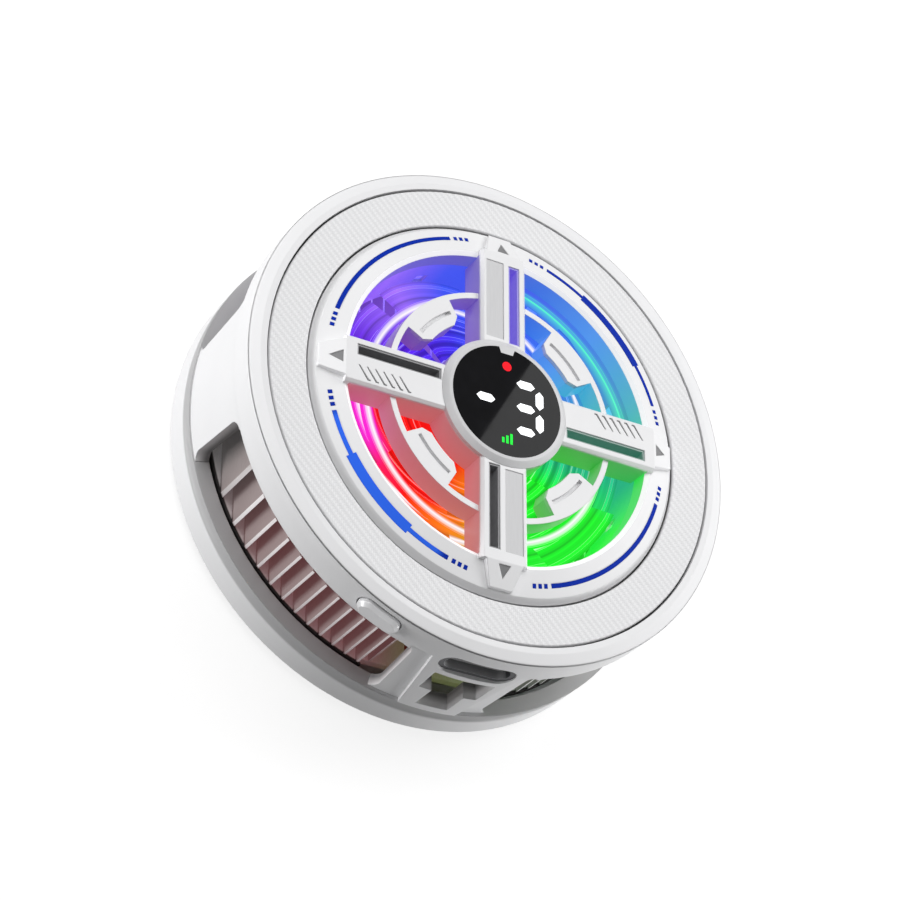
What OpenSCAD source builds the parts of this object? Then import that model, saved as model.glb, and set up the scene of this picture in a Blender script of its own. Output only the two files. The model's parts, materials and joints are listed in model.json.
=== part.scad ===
// Magnetic phone cooling fan: a round case with a lit fan behind a spoked grille, a straight-fin
// heat sink, a thermoelectric cold plate and a magnetic contact ring. Millimetres.
// The origin is the centre of the contact face, +Z points out of the grille and -Y at the socket.

/* [Case] */
// Outer radius of the case at its upper band
case_r = 32.3; // [31.9:0.1:35]
// Thickness of the case wall
case_wall = 2.1; // [1.8:0.1:2.4]
// Depth by which the lower wall is set back from the upper band
wall_step = 0.3; // [0.1:0.05:0.5]
// Height of the upper band, from the step line to the bezel
band_h = 3.6; // [3.5:0.1:5]
// Height of wall between the side vents and the step line
lintel_h = 0.9; // [0.6:0.1:2]
// Radius of the screw bosses inside the case
boss_r = 1.7; // [1.5:0.1:2]
// Distance from the case's inside to the circle of the rear screws
boss_inset = 2.4; // [2.3:0.05:2.8]

/* [Side vents] */
// Height of the side vents
vent_h = 11.2; // [10.5:0.1:16]
// Half the angle that a side vent covers, at its middle
vent_half = 31.8; // [30:0.1:36]
// Lean of a vent's sides, wider at the foot
vent_lean = 4.5; // [0:0.1:8]
// Corner radius of the vents
vent_corner = 1.4; // [0.5:0.1:2]

/* [Rear cover] */
// Depth by which the base ring is set back from the upper band
base_inset = 0.1; // [0:0.05:0.3]
// Height of the base ring's lower edge above the contact face
cover_lift = 0.4; // [0.2:0.05:0.6]
// Thickness of the rear cover's floor
cover_floor = 1.3; // [1.1:0.05:1.6]
// Height of the base ring
base_ring_h = 4; // [3.6:0.1:5]
// Size of the bevel round the base ring's lower edge
base_edge = 0.9; // [0.3:0.1:1.4]
// Height of the hollow band above the base ring
cove_h = 2; // [1.6:0.1:2.4]
// Radius of the hollow band's section
cove_r = 1.35; // [1.25:0.05:2]

/* [Front bezel and trim] */
// Rise of the bezel from its outer edge to the front face
bezel_rise = 0.5; // [0.3:0.05:0.8]
// Width of the bezel's sloping band
bezel_slope_w = 1.4; // [0.8:0.1:1.7]
// Width of the bezel's flat band
bezel_flat_w = 0.78; // [0.6:0.02:1]
// Thickness of the bezel's floor under the trim ring
bezel_floor = 0.6; // [0.4:0.05:0.8]
// Depth of the bezel's skirt inside the case
skirt_h = 1.4; // [1:0.1:1.5]
// Thickness of the bezel's skirt
skirt_t = 0.88; // [0.7:0.02:1]
// Width of the trim ring
trim_w = 4.84; // [4.4:0.02:5.2]
// Thickness of the trim ring
trim_t = 0.6; // [0.4:0.05:0.8]
// Thickness of the bonding ring under the trim ring
adhesive_t = 0.2; // [0.1:0.05:0.3]
// Width of the grooves on both sides of the trim ring
groove_w = 0.24; // [0.15:0.01:0.4]
// Height of the shadow line between bezel and case
seam_gap = 0.12; // [0.05:0.01:0.3]

/* [Grille] */
// Width of the grille ring
grille_ring_w = 4.35; // [4:0.05:4.7]
// Height of the grille ring's foot below the front face
ring_edge_drop = 0.3; // [0.1:0.05:0.5]
// Height of the grille ring's outer shoulder above the front face
ring_shoulder = 0.45; // [0.2:0.05:0.7]
// Height of the grille ring's inner crest above the front face
ring_crest = 1.26; // [0.9:0.05:1.6]
// Width of the sloping outer shoulder
shoulder_w = 0.6; // [0.3:0.05:1]
// Width of the bevel round the opening
inner_bevel = 0.55; // [0.2:0.05:1]
// Half the width of a spoke's flat top
spoke_half = 2.75; // [2.5:0.05:3.1]
// Bevel along a spoke's top edges
spoke_bevel = 0.35; // [0.1:0.05:0.6]
// Height of the spokes above the front face
spoke_rise = 2; // [1.7:0.05:2.4]
// Depth of a spoke from top to underside
spoke_h = 4; // [3.7:0.05:4.2]
// Distance from a spoke's middle to its slot
slot_offset = 0.65; // [0.4:0.05:0.8]
// Width of the slot along each spoke
slot_w = 1.5; // [1:0.05:1.6]
// Distance from the opening's edge to the slot's end
slot_end = 0.85; // [0.5:0.05:2]
// Distance from a spoke's end plate to the grille ring's outer edge
tip_inset = 0.8; // [0.6:0.1:1.6]
// Half the width of the end plate at its tip
tip_half = 1.5; // [1:0.05:2]
// Height of the end plate's tip above the front face
tip_rise = 0.95; // [0.7:0.05:1.2]
// Inner radius of the arc ring between the spokes
arc_r = 14.45; // [14:0.05:15]
// Width of the arc ring
arc_w = 0.75; // [0.6:0.05:1.2]
// Height of the arc ring and its tabs above the front face
arc_rise = 1.2; // [1:0.05:1.5]
// Depth of the arc ring from top to underside
arc_h = 2.9; // [2:0.05:3]
// Inner radius of the tabs on the arc ring
tab_r = 11.3; // [10.6:0.1:12]
// Half the angle that a tab covers
tab_half = 15.5; // [8:0.5:22]
// Size of the cuts at a tab's inner corners
tab_corner = 0.9; // [0.4:0.05:1.2]
// Radius of the groove along each tab
tab_groove_r = 12.7; // [12.4:0.05:13.2]
// Width of the groove along each tab
tab_groove_w = 0.45; // [0.3:0.05:0.8]
// Angle from a groove's end to the tab's end
tab_groove_end = 3; // [1:0.5:5]
// Depth of engraved marks
mark_depth = 0.25; // [0.1:0.05:0.35]
// Distance from the blue arcs to the grille ring's outer edge
accent_inset = 1.97; // [1.8:0.01:2.3]
// Width of a plain blue arc
accent_w = 0.5; // [0.3:0.05:0.7]
// Width of the thick middle of a blue arc
accent_thick_w = 1.2; // [0.8:0.05:1.4]

/* [Display] */
// Outer radius of the hub
hub_r = 8.43; // [8.2:0.01:8.8]
// Radius of the display lens
lens_r = 7.3; // [7.1:0.05:7.4]
// Thickness of the display lens
lens_t = 0.8; // [0.6:0.05:1]
// Height of the lens above the front face
lens_rise = 2.6; // [2.4:0.05:3]
// Length of a display segment
segment_l = 2.5; // [2:0.1:2.7]
// Width of a display segment
segment_w = 1.05; // [0.7:0.05:1.1]
// Distance between the digit's rows of segments
digit_pitch = 3.15; // [2.8:0.05:3.3]
// Depth of the lit marks in the lens
segment_depth = 0.3; // [0.2:0.05:0.4]

/* [Fan] */
// Depth of the fan frame below the bezel's floor
fan_depth = 6.7; // [6.5:0.1:7]
// Thickness of the fan frame's deck
deck_t = 1.2; // [1.1:0.05:1.2]
// Wall of the fan duct
duct_wall = 1.75; // [1.5:0.05:1.8]
// Thickness of the motor base and its arms
motor_base_t = 1; // [0.8:0.05:1.1]
// Width of the arms that carry the motor base
arm_w = 3.4; // [3:0.1:4]
// Number of fan blades
blade_count = 9; // [7:1:9]
// Angle that one blade covers
blade_span = 41; // [36:1:43]
// Distance from the axis to the centre of a blade's edge arc
blade_curve = 30; // [24:1:60]
// Pitch of a blade
blade_pitch = 12; // [8:1:13]
// Thickness of a blade
blade_t = 0.6; // [0.5:0.05:0.7]
// Gap between the blade tips and the duct
tip_gap = 0.85; // [0.6:0.05:1.2]
// Radius of the fan's hub
fan_hub_r = 8; // [7.8:0.05:8.4]
// Inner radius of the fan's hoop
hoop_r = 15.35; // [14.5:0.05:16]
// Width of the fan's hoop
hoop_w = 1.25; // [0.8:0.05:1.6]
// Height of the fan's hoop
hoop_h = 0.7; // [0.5:0.05:1]
// Radius of the rotor shaft
shaft_r = 0.75; // [0.6:0.05:0.9]
// Radial running clearance of the shaft in its bush
shaft_gap = 0.03; // [0.01:0.01:0.06]

/* [Heat sink and cooler] */
// Gap between the heat sink and the case's inside
sink_gap = 0.6; // [0.4:0.1:1.4]
// Thickness of the heat sink's plate
sink_plate = 1; // [0.8:0.05:1.2]
// Pitch of the fins
fin_pitch = 1.66; // [1.4:0.02:2.4]
// Thickness of a fin
fin_t = 0.25; // [0.2:0.05:0.6]
// Side of the thermoelectric module
peltier_w = 20; // [18:0.5:22]
// Thickness of the thermoelectric module
peltier_t = 2.8; // [2.6:0.1:3.2]
// Distance from the magnets to the cold plate's contact face
cold_inset = 4.1; // [3.8:0.1:5]
// Thickness of the cold plate's flange
cold_flange = 0.5; // [0.4:0.05:0.7]
// Gap between the magnets and the screw bosses
magnet_gap = 0.5; // [0.3:0.05:1]
// Width of the magnets
magnet_w = 4; // [3:0.1:4]
// Height of the magnets
magnet_h = 2; // [1.6:0.1:2.1]
// Number of magnets
magnet_count = 16; // [12:1:24]
// Gap between the cold plate and the silicone contact ring
pad_inset = 1.9; // [1.6:0.1:2.4]
// Distance from the silicone contact ring to the base ring's edge
pad_outset = 2.8; // [2.4:0.1:3]
// Thickness of the silicone contact ring
pad_t = 0.8; // [0.6:0.05:0.9]

/* [Socket and button] */
// Width of the socket's shell
usb_w = 8.94; // [8.8:0.02:9.2]
// Height of the socket's shell
usb_h = 3.26; // [3.1:0.02:3.3]
// Wall of the socket's shell
usb_wall = 0.3; // [0.2:0.05:0.4]
// Width of the control board
board_w = 11; // [10:0.5:12]
// Thickness of the control board
board_t = 1.2; // [0.8:0.1:1.4]
// Width of the upper part of the T-shaped opening
tee_w = 7.9; // [6:0.1:8.4]
// Width of the lower part of the T-shaped opening
tee_leg_w = 4.2; // [4.1:0.1:4.6]
// Angle of the button round the case
button_angle = -115.2; // [-118:0.2:-113]
// Width of the button
button_w = 5.6; // [5:0.1:6.4]
// Height of the button
button_h = 2.6; // [2.2:0.1:2.8]
// Height by which the button stands out of the case
button_proud = 0.8; // [0.5:0.05:1.2]
// Travel of the button
button_travel = 0.4; // [0.2:0.05:0.5]

/* [Screws] */
// Radius of a screw's thread
screw_r = 0.8; // [0.6:0.05:0.85]
// Radius of a screw's head
screw_head_r = 1.35; // [1.2:0.05:1.4]
// Height of a screw's head
screw_head_h = 0.7; // [0.5:0.05:0.8]

/* [Hidden] */
$fn = 96;

// Shared clearances
fit_gap = 0.1;
press_gap = 0.01;
moving_gap = 0.3;
cut = 0.5;
reach = 80;

// Directions round the case
post_angles = [0, 90, 180, -90];
screw_posts = [0, 90, 180];
quadrant = 90;
corner_angles = [45, 135, -135, -45];
usb_angle = -90;

// Levels of the case, from the contact face up
z_cover = cover_lift;
z_floor = z_cover + cover_floor;
z_cove = z_cover + base_ring_h;
z_sill = z_cove + cove_h;
z_vent_top = z_sill + vent_h;
z_step = z_vent_top + lintel_h;
z_seam = z_step + band_h;
z_face = z_seam + bezel_rise;

// Levels of the front stack, from the front face down
z_trim = z_face - trim_t;
z_adhesive = z_trim - adhesive_t;
z_deck_top = z_adhesive - bezel_floor;
z_deck = z_deck_top - deck_t;
z_rabbet = z_seam - skirt_h;
z_spoke_top = z_face + spoke_rise;
z_spoke = z_spoke_top - spoke_h;
z_arc_top = z_face + arc_rise;
z_lens_top = z_face + lens_rise;
z_lens = z_lens_top - lens_t;

// Levels of the cooler and the fan
z_cold = z_floor + cold_flange;
z_plate = z_cold + peltier_t;
z_fins = z_plate + sink_plate;
z_motor = z_deck_top - fan_depth;
z_motor_top = z_motor + motor_base_t;
z_fin_top = z_motor - moving_gap;
blade_foot_gap = 0.8;
blade_head_gap = 0.6;
z_blade = z_motor_top + blade_foot_gap;
z_blade_top = z_spoke - blade_head_gap;

// Radii of the case, from the outside in
case_in_r = case_r - case_wall;
wall_r = case_r - wall_step;
base_r = case_r - base_inset;
sink_r = case_in_r - sink_gap;
boss_ring_r = case_in_r - boss_inset;

// Radii of the front, from the outside in
bezel_lip_r = case_r - bezel_slope_w - bezel_flat_w;
skirt_out_r = bezel_lip_r + skirt_t;
trim_out_r = bezel_lip_r - groove_w;
trim_r = trim_out_r - trim_w;
grille_r = trim_r - groove_w;
window_r = grille_r - grille_ring_w;
tip_r = grille_r - tip_inset;
accent_r = grille_r - accent_inset;

// Radii of the contact face, from the outside in
magnet_r = boss_ring_r - boss_r - magnet_gap - magnet_w;
cold_r = magnet_r - cold_inset;
pad_r = cold_r + pad_inset;
pad_outer_r = base_r - pad_outset;

// Ring between two radii and two levels
module ring(r_in, r_out, z0, z1) {
    rotate_extrude()
        translate([r_in, z0])
            square([r_out - r_in, z1 - z0]);
}

// Bar of a ring between two angles
module arc_bar(r_in, r_out, z0, z1, a0, a1) {
    rotate([0, 0, a0])
        rotate_extrude(angle = a1 - a0)
            translate([r_in, z0])
                square([r_out - r_in, z1 - z0]);
}

// Upright post or hole at a place round the axis
module post(angle, radius, r, z0, z1) {
    rotate([0, 0, angle])
        translate([radius, 0, z0])
            cylinder(r = r, h = z1 - z0);
}

// Box given by its limits along the radius, across it and up
module radial_box(angle, r0, r1, u0, u1, z0, z1) {
    rotate([0, 0, angle])
        translate([r0, u0, z0])
            cube([r1 - r0, u1 - u0, z1 - z0]);
}

// Outline (across, up) drawn out along the radius
module outward(angle, r0, r1) {
    rotate([0, 0, angle])
        translate([r0, 0, 0])
            rotate([90, 0, 90])
                linear_extrude(r1 - r0)
                    children();
}

// Outline of a bar with round ends
module pill(w, h) {
    square([w - h, h], center = true);
    for (side = [-1, 1])
        translate([side * (w - h) / 2, 0])
            circle(d = h);
}

// Space on one side of an upright plane through the axis, leaning about its own radius
module half_space(half, lean, z_mid) {
    rotate([0, 0, half])
        translate([0, 0, z_mid])
            rotate([lean, 0, 0])
                translate([0, -reach, -reach])
                    cube([reach, reach, 2 * reach]);
}

// Wedge about +X, wider at the foot when the lean is positive
module wedge(half, lean, z_mid) {
    intersection() {
        half_space(half, lean, z_mid);
        mirror([0, 1, 0])
            half_space(half, lean, z_mid);
    }
}

// CASE

z_vent_mid = z_sill + vent_h / 2;

// Material that rounds one corner of a vent
module vent_corner_fill(up) {
    z_edge = up * vent_h / 2;
    rotate([0, 0, vent_half])
        translate([0, 0, z_vent_mid])
            rotate([vent_lean, 0, 0])
                difference() {
                    translate([0, -vent_corner, z_edge - (up > 0 ? vent_corner : cut)])
                        cube([reach, vent_corner + cut, vent_corner + cut]);
                    translate([0, -vent_corner, z_edge - up * vent_corner])
                        rotate([0, 90, 0])
                            cylinder(r = vent_corner, h = reach);
                }
}

module vent_cut() {
    difference() {
        intersection() {
            ring(case_in_r - cut, case_r + cut, z_sill - cut, z_vent_top);
            wedge(vent_half, vent_lean, z_vent_mid);
        }
        for (up = [-1, 1]) {
            vent_corner_fill(up);
            mirror([0, 1, 0])
                vent_corner_fill(up);
        }
    }
}

// Raised block round the socket, narrower at its foot
usb_block_half = 8.5;
usb_block_lean = -10;
usb_drop = 0.25;
z_usb = z_step - usb_drop;
usb_margin_w = 0.4;
usb_margin_h = 0.22;
usb_slot_w = usb_w + 2 * usb_margin_w;
usb_slot_h = usb_h + 2 * usb_margin_h;

module usb_block() {
    rotate([0, 0, usb_angle])
        intersection() {
            ring(case_in_r, case_r, z_sill, z_step);
            wedge(usb_block_half, usb_block_lean, z_vent_mid);
        }
}

// Set-back of the wall between the socket's block and the vents beside it
recess_depth = 0.3;
recess_over = 2;

module block_recess() {
    rotate([0, 0, usb_angle])
        difference() {
            intersection() {
                ring(wall_r - recess_depth, case_r + cut, z_sill - cut, z_step - wall_step);
                wedge(quadrant / 2 - vent_half + recess_over, 0, z_vent_mid);
            }
            wedge(usb_block_half, usb_block_lean, z_vent_mid);
        }
}

// T-shaped opening below the socket
tee_drop = 2.1;
tee_foot = 1.2;
tee_leg_h = 3.8;
tee_taper = 0.2;
z_tee_top = z_vent_top - tee_drop;
z_tee = z_sill + tee_foot;
z_tee_leg = z_tee + tee_leg_h;

module tee_outline() {
    polygon([
        [-tee_w / 2, z_tee_top], [tee_w / 2, z_tee_top],
        [tee_w / 2 - tee_taper, z_tee_leg], [tee_leg_w / 2, z_tee_leg],
        [tee_leg_w / 2, z_tee], [-tee_leg_w / 2, z_tee],
        [-tee_leg_w / 2, z_tee_leg], [tee_taper - tee_w / 2, z_tee_leg]
    ]);
}

// Boss beside the wall, with the web that joins them
boss_web = 1.8;

module wall_boss(angle, radius, z0, z1) {
    post(angle, radius, boss_r, z0, z1);
    radial_box(angle, radius, case_in_r + case_wall / 2, -boss_web / 2, boss_web / 2, z0, z1);
}

// Control board, upright behind the socket, held in two grooved ribs under the band
board_gap = 0.25;
duct_r = window_r + duct_wall;
strip_t = 0.15;
board_in_r = duct_r + strip_t + board_gap;
board_out_r = board_in_r + board_t;
board_foot = 0.3;
z_board = z_fins + board_foot;
z_board_top = z_deck - fit_gap;
rib_t = 1;
rib_grip = 0.6;
rib_back = 0.8;
rib_u = board_w / 2 + rib_t;
rib_out_r = sqrt(case_in_r * case_in_r - rib_u * rib_u) + case_wall / 2;

module board_ribs() {
    for (side = [0, 1])
        rotate([0, 0, usb_angle])
            mirror([0, side, 0])
                translate([board_in_r - rib_back, board_w / 2 - rib_grip, z_vent_top + fit_gap])
                    cube([rib_out_r - board_in_r + rib_back, rib_t + rib_grip,
                        z_board_top - z_vent_top - fit_gap]);
}

// Button, its switch and the shelf that carries the switch
// The button's flange is longer than its hole and keeps it in at both ends
z_button = z_deck;
button_gap = 0.15;
button_flange_t = 0.9;
button_flange_lip = 0.5;
button_flange_gap = 0.2;
shelf_t = 0.4;
shelf_w = 5.2;
shelf_over = 0.6;
switch_board_over = 0.4;
switch_gap = 1.9;
switch_board_t = 0.6;
switch_h = 2.4;
switch_w = 4.6;
switch_deep = 2.4;
plunger_r = 0.7;
plunger_grip = 0.5;
button_back_r = sqrt(pow(case_in_r, 2) - pow(button_w / 2 + button_flange_lip, 2))
    - button_flange_gap - button_flange_t;
switch_out_r = button_back_r - switch_gap;
switch_in_r = switch_out_r - switch_deep;
z_shelf = z_vent_top;
z_switch_board = z_shelf + shelf_t;
z_switch = z_switch_board + switch_board_t;

module switch_shelf() {
    radial_box(button_angle, switch_in_r - shelf_over, case_in_r + case_wall / 2,
        -shelf_w / 2, shelf_w / 2, z_shelf, z_switch_board);
}

// Screws that hold the fan frame's deck to the case
frame_inset = 2.2;
frame_ring_r = case_in_r - frame_inset;
frame_boss_gap = 0.3;
z_frame_boss = z_vent_top + frame_boss_gap;
case_boss_h = 9.6;
z_case_boss_top = z_sill + case_boss_h;
pilot_depth = 5;

module side_housing() color("white") {
    difference() {
        union() {
            rotate_extrude()
                polygon([
                    [case_in_r, z_sill], [wall_r, z_sill], [wall_r, z_step - wall_step],
                    [case_r, z_step], [case_r, z_seam], [case_in_r, z_seam]
                ]);
            usb_block();
            for (angle = screw_posts)
                wall_boss(angle, boss_ring_r, z_sill, z_case_boss_top);
            for (angle = corner_angles)
                wall_boss(angle, frame_ring_r, z_frame_boss, z_deck);
            board_ribs();
            switch_shelf();
        }
        for (angle = corner_angles)
            rotate([0, 0, angle])
                vent_cut();
        block_recess();
        ring(case_in_r - cut, skirt_out_r + fit_gap / 2, z_rabbet, z_seam + cut);
        outward(usb_angle, case_in_r - cut, case_r + cut)
            translate([0, z_usb])
                pill(usb_slot_w, usb_slot_h);
        outward(usb_angle, case_in_r - cut, case_r + cut)
            tee_outline();
        outward(button_angle, case_in_r - cut, case_r + cut)
            translate([0, z_button])
                pill(button_w + 2 * button_gap, button_h + 2 * button_gap);
        radial_box(usb_angle, board_in_r - fit_gap, board_out_r + fit_gap,
            -board_w / 2 - fit_gap, board_w / 2 + fit_gap, z_vent_top, z_deck);
        for (angle = screw_posts)
            post(angle, boss_ring_r, screw_r + press_gap, z_sill - cut, z_sill + pilot_depth);
        for (angle = corner_angles)
            post(angle, frame_ring_r, screw_r + press_gap, z_frame_boss - cut, z_deck + cut);
    }
}

// Room in the bezel for the button's flange
button_notch_h = button_h / 2 + fit_gap;
button_notch_w = button_w + 2 * button_flange_lip + 2 * moving_gap;

module button_notch(r_in) {
    radial_box(button_angle, r_in, case_r - case_wall / 2, -button_notch_w / 2, button_notch_w / 2,
        z_button - button_notch_h, z_button + button_notch_h);
}

module front_bezel() color("white") {
    difference() {
        rotate_extrude()
            polygon([
                [grille_r + fit_gap, z_deck_top], [bezel_lip_r, z_deck_top], [bezel_lip_r, z_rabbet],
                [skirt_out_r, z_rabbet], [skirt_out_r, z_seam + seam_gap],
                [case_r, z_seam + seam_gap], [case_r - bezel_slope_w, z_face], [bezel_lip_r, z_face],
                [bezel_lip_r, z_adhesive], [grille_r + fit_gap, z_adhesive]
            ]);
        button_notch(button_back_r - button_travel - moving_gap);
    }
}

// Rear cover: floor, base ring, hollow band, sill, rib under the heat sink and screw bosses
cold_hole_gap = 0.2;
pad_gap = 0.1;
magnet_sink = 0.5;
rib_gap = 0.8;
rib_in_r = magnet_r + magnet_w + rib_gap;
rib_out = 1.2;
cove_centre_r = base_r + sqrt(cove_r * cove_r - cove_h * cove_h / 4);
head_sink = 1.8;
z_head_seat = pad_t + head_sink;

module rear_cover() color("whitesmoke") {
    difference() {
        union() {
            difference() {
                rotate_extrude()
                    polygon([
                        [0, z_cover], [base_r - base_edge, z_cover], [base_r, z_cover + base_edge],
                        [base_r, z_sill], [0, z_sill]
                    ]);
                translate([0, 0, z_floor])
                    cylinder(r = case_in_r, h = z_sill);
                rotate_extrude()
                    translate([cove_centre_r, z_cove + cove_h / 2])
                        circle(r = cove_r);
            }
            ring(rib_in_r, rib_in_r + rib_out, z_floor - cover_floor / 4, z_plate);
            for (angle = screw_posts)
                wall_boss(angle, boss_ring_r, z_floor - cover_floor / 4, z_sill);
        }
        translate([0, 0, z_cover - cut])
            cylinder(r = cold_r + cold_hole_gap, h = cover_floor + 2 * cut);
        ring(pad_r - pad_gap, pad_outer_r + pad_gap, z_cover - cut, pad_t);
        ring(magnet_r - pad_gap, magnet_r + magnet_w + pad_gap, z_floor - magnet_sink, z_floor + cut);
        for (angle = screw_posts) {
            post(angle, boss_ring_r, screw_r + fit_gap, z_cover - cut, z_sill + cut);
            post(angle, boss_ring_r, screw_head_r + fit_gap, z_cover - cut, z_head_seat);
        }
    }
}

module trim_ring() color("gainsboro") {
    ring(trim_r, trim_out_r, z_trim, z_face);
}

module trim_adhesive() color("black") {
    ring(grille_r + fit_gap, bezel_lip_r - press_gap, z_adhesive, z_trim);
}

// FRONT GRILLE

ring_inner_r = window_r + inner_bevel;
ring_shoulder_r = grille_r - shoulder_w;
bevel_drop = 0.36;

// Height of the grille ring's sloping top at a radius
function ring_top(r) = z_face + ring_shoulder
    + (ring_crest - ring_shoulder) * (ring_shoulder_r - r) / (ring_shoulder_r - ring_inner_r);

module grille_ring() {
    rotate_extrude()
        polygon([
            [window_r, z_deck_top], [grille_r, z_deck_top], [grille_r, z_face - ring_edge_drop],
            [ring_shoulder_r, ring_top(ring_shoulder_r)], [ring_inner_r, ring_top(ring_inner_r)],
            [window_r, ring_top(ring_inner_r) - bevel_drop]
        ]);
}

spoke_side = spoke_half + spoke_bevel;
spoke_root = 0.6;
spoke_root_r = hub_r - spoke_root;

module spoke_bar() {
    outward(0, spoke_root_r, window_r + inner_bevel)
        polygon([
            [-spoke_side, z_spoke], [spoke_side, z_spoke], [spoke_side, z_spoke_top - spoke_bevel],
            [spoke_half, z_spoke_top], [-spoke_half, z_spoke_top],
            [-spoke_side, z_spoke_top - spoke_bevel]
        ]);
}

// End plate of a spoke, narrowing and sloping down on to the ring
module spoke_tip() {
    intersection() {
        translate([0, 0, z_deck_top])
            linear_extrude(spoke_h + spoke_rise)
                polygon([
                    [window_r - inner_bevel, -spoke_half], [tip_r, -tip_half], [tip_r, tip_half],
                    [window_r - inner_bevel, spoke_half]
                ]);
        rotate([90, 0, 0])
            translate([0, 0, -spoke_half])
                linear_extrude(2 * spoke_half)
                    polygon([
                        [window_r - inner_bevel, z_deck_top + inner_bevel],
                        [tip_r, z_deck_top + inner_bevel], [tip_r, z_face + tip_rise],
                        [ring_inner_r, z_spoke_top], [window_r - inner_bevel, z_spoke_top]
                    ]);
    }
}

// Clearance round an inlay, and its set-back below the edge of its recess
inlay_gap = 0.02;
mark_set = 0.08;

// Triangle that points outward, let into a spoke's end plate
tip_slope = atan((spoke_rise - tip_rise) / (tip_r - ring_inner_r));
pointer_in = 0.35;
pointer_l = 1.7;
pointer_half = 0.82;

module pointer_mark(gap, h) {
    translate([ring_inner_r, 0, z_spoke_top])
        rotate([0, tip_slope, 0])
            translate([pointer_in, 0, -mark_depth])
                linear_extrude(h)
                    polygon([
                        [gap, 2 * gap - pointer_half], [pointer_l - 2 * gap, 0],
                        [gap, pointer_half - 2 * gap]
                    ]);
}

// Slot along a spoke, on its clockwise side
module spoke_slot() {
    translate([hub_r + fit_gap, -slot_offset - slot_w, z_spoke - cut])
        cube([window_r - slot_end - hub_r - fit_gap, slot_w, spoke_h + 2 * cut]);
}

// Shallow panel beside the slot
panel_edge = 0.3;
panel_gap = 0.05;
panel_in = 0.4;
panel_out = 0.75;

module spoke_panel(gap, h) {
    translate([hub_r + panel_in + gap, panel_gap + gap, z_spoke_top - mark_depth])
        cube([window_r - panel_out - hub_r - panel_in - 2 * gap,
            spoke_half - panel_edge - panel_gap - 2 * gap, h]);
}

// Row of hooked slashes beside the slot
slash_count = 6;
slash_w = 0.18;
slash_hook = 0.4;
slash_run = 1.2;
slash_drop = 1.8;
slash_in = 4.1;
slash_out = 1.02;
slash_reach = window_r - slash_out - hub_r - slash_in - slash_hook - slash_run;
slash_pitch = slash_reach / (slash_count - 1);

module slash_marks(gap, h) {
    for (i = [0 : slash_count - 1])
        translate([hub_r + slash_in + i * slash_pitch, spoke_half - panel_edge, z_spoke_top - mark_depth])
            linear_extrude(h)
                polygon([
                    [gap, -gap], [slash_hook - gap, -gap],
                    [slash_hook + slash_run - 2 * gap, gap - slash_drop],
                    [slash_hook + slash_run - slash_w + gap, gap - slash_drop],
                    [slash_hook - slash_w, gap - slash_w], [gap, gap - slash_w]
                ]);
}

// Dark fill of the triangles and slashes
module mark_inlays() color("dimgray") {
    for (angle = post_angles)
        rotate([0, 0, angle])
            pointer_mark(inlay_gap, mark_depth - mark_set);
    for (angle = [0, 180])
        rotate([0, 0, angle])
            slash_marks(inlay_gap, mark_depth - mark_set);
}

// Plates in the panels
module panel_inlays() color("silver") {
    for (angle = [90, -90])
        rotate([0, 0, angle])
            spoke_panel(inlay_gap, mark_depth - mark_set);
}

// Dark channels that line the slots, held between the slots' ends
liner_t = 0.2;
liner_set = 0.15;
liner_depth = 2.2;

module slot_liners() color("dimgray") {
    slot_l = window_r - slot_end - hub_r - fit_gap;
    for (angle = post_angles)
        rotate([0, 0, angle])
            translate([hub_r + fit_gap, -slot_offset - slot_w + inlay_gap, z_spoke])
                difference() {
                    cube([slot_l, slot_w - 2 * inlay_gap, spoke_h - liner_set]);
                    translate([liner_t, liner_t, spoke_h - liner_depth])
                        cube([slot_l - 2 * liner_t, slot_w - 2 * inlay_gap - 2 * liner_t, liner_depth]);
                }
}

// Tabs inside the arc ring, one between each pair of spokes
module arc_tabs() {
    for (angle = corner_angles)
        difference() {
            arc_bar(tab_r, arc_r + arc_w / 2, z_arc_top - arc_h, z_arc_top,
                angle - tab_half, angle + tab_half);
            arc_bar(tab_groove_r, tab_groove_r + tab_groove_w, z_arc_top - 2 * mark_depth, z_arc_top + cut,
                angle - tab_half + tab_groove_end, angle + tab_half - tab_groove_end);
            for (side = [-1, 1])
                rotate([0, 0, angle + side * tab_half])
                    translate([tab_r, 0, z_arc_top - arc_h - cut])
                        linear_extrude(arc_h + 2 * cut)
                            rotate(45)
                                square(tab_corner * sqrt(2), center = true);
        }
}

// Hub with the stepped pocket for the display
pocket_gap = 0.2;
pocket_step = 0.7;
pocket_depth = 1.6;
pocket_r = lens_r + pocket_gap;
pocket_step_r = lens_r - pocket_step;
hub_floor = 1;
board_disc_t = 0.8;
spacer_w = 1;
bezel_seat = 0.2;
z_hub_rim = z_lens - bezel_seat;
z_display_board = z_hub_rim - pocket_depth;

module hub_cup() {
    difference() {
        translate([0, 0, z_spoke])
            cylinder(r = hub_r, h = z_hub_rim - z_spoke);
        translate([0, 0, z_display_board])
            cylinder(r = pocket_r, h = z_hub_rim);
        translate([0, 0, z_spoke + hub_floor])
            cylinder(r = pocket_step_r, h = z_hub_rim);
    }
}

// Flat cable from the display, along the underside of the spoke over the socket
ribbon_t = 0.35;
ribbon_w = 1.1;
ribbon_u = 0.7;
ribbon_root_r = 5.2;
ribbon_tip_r = board_in_r + board_t / 2;
z_ribbon = z_deck_top - fit_gap - ribbon_t;
ribbon_room = 0.15;

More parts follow.
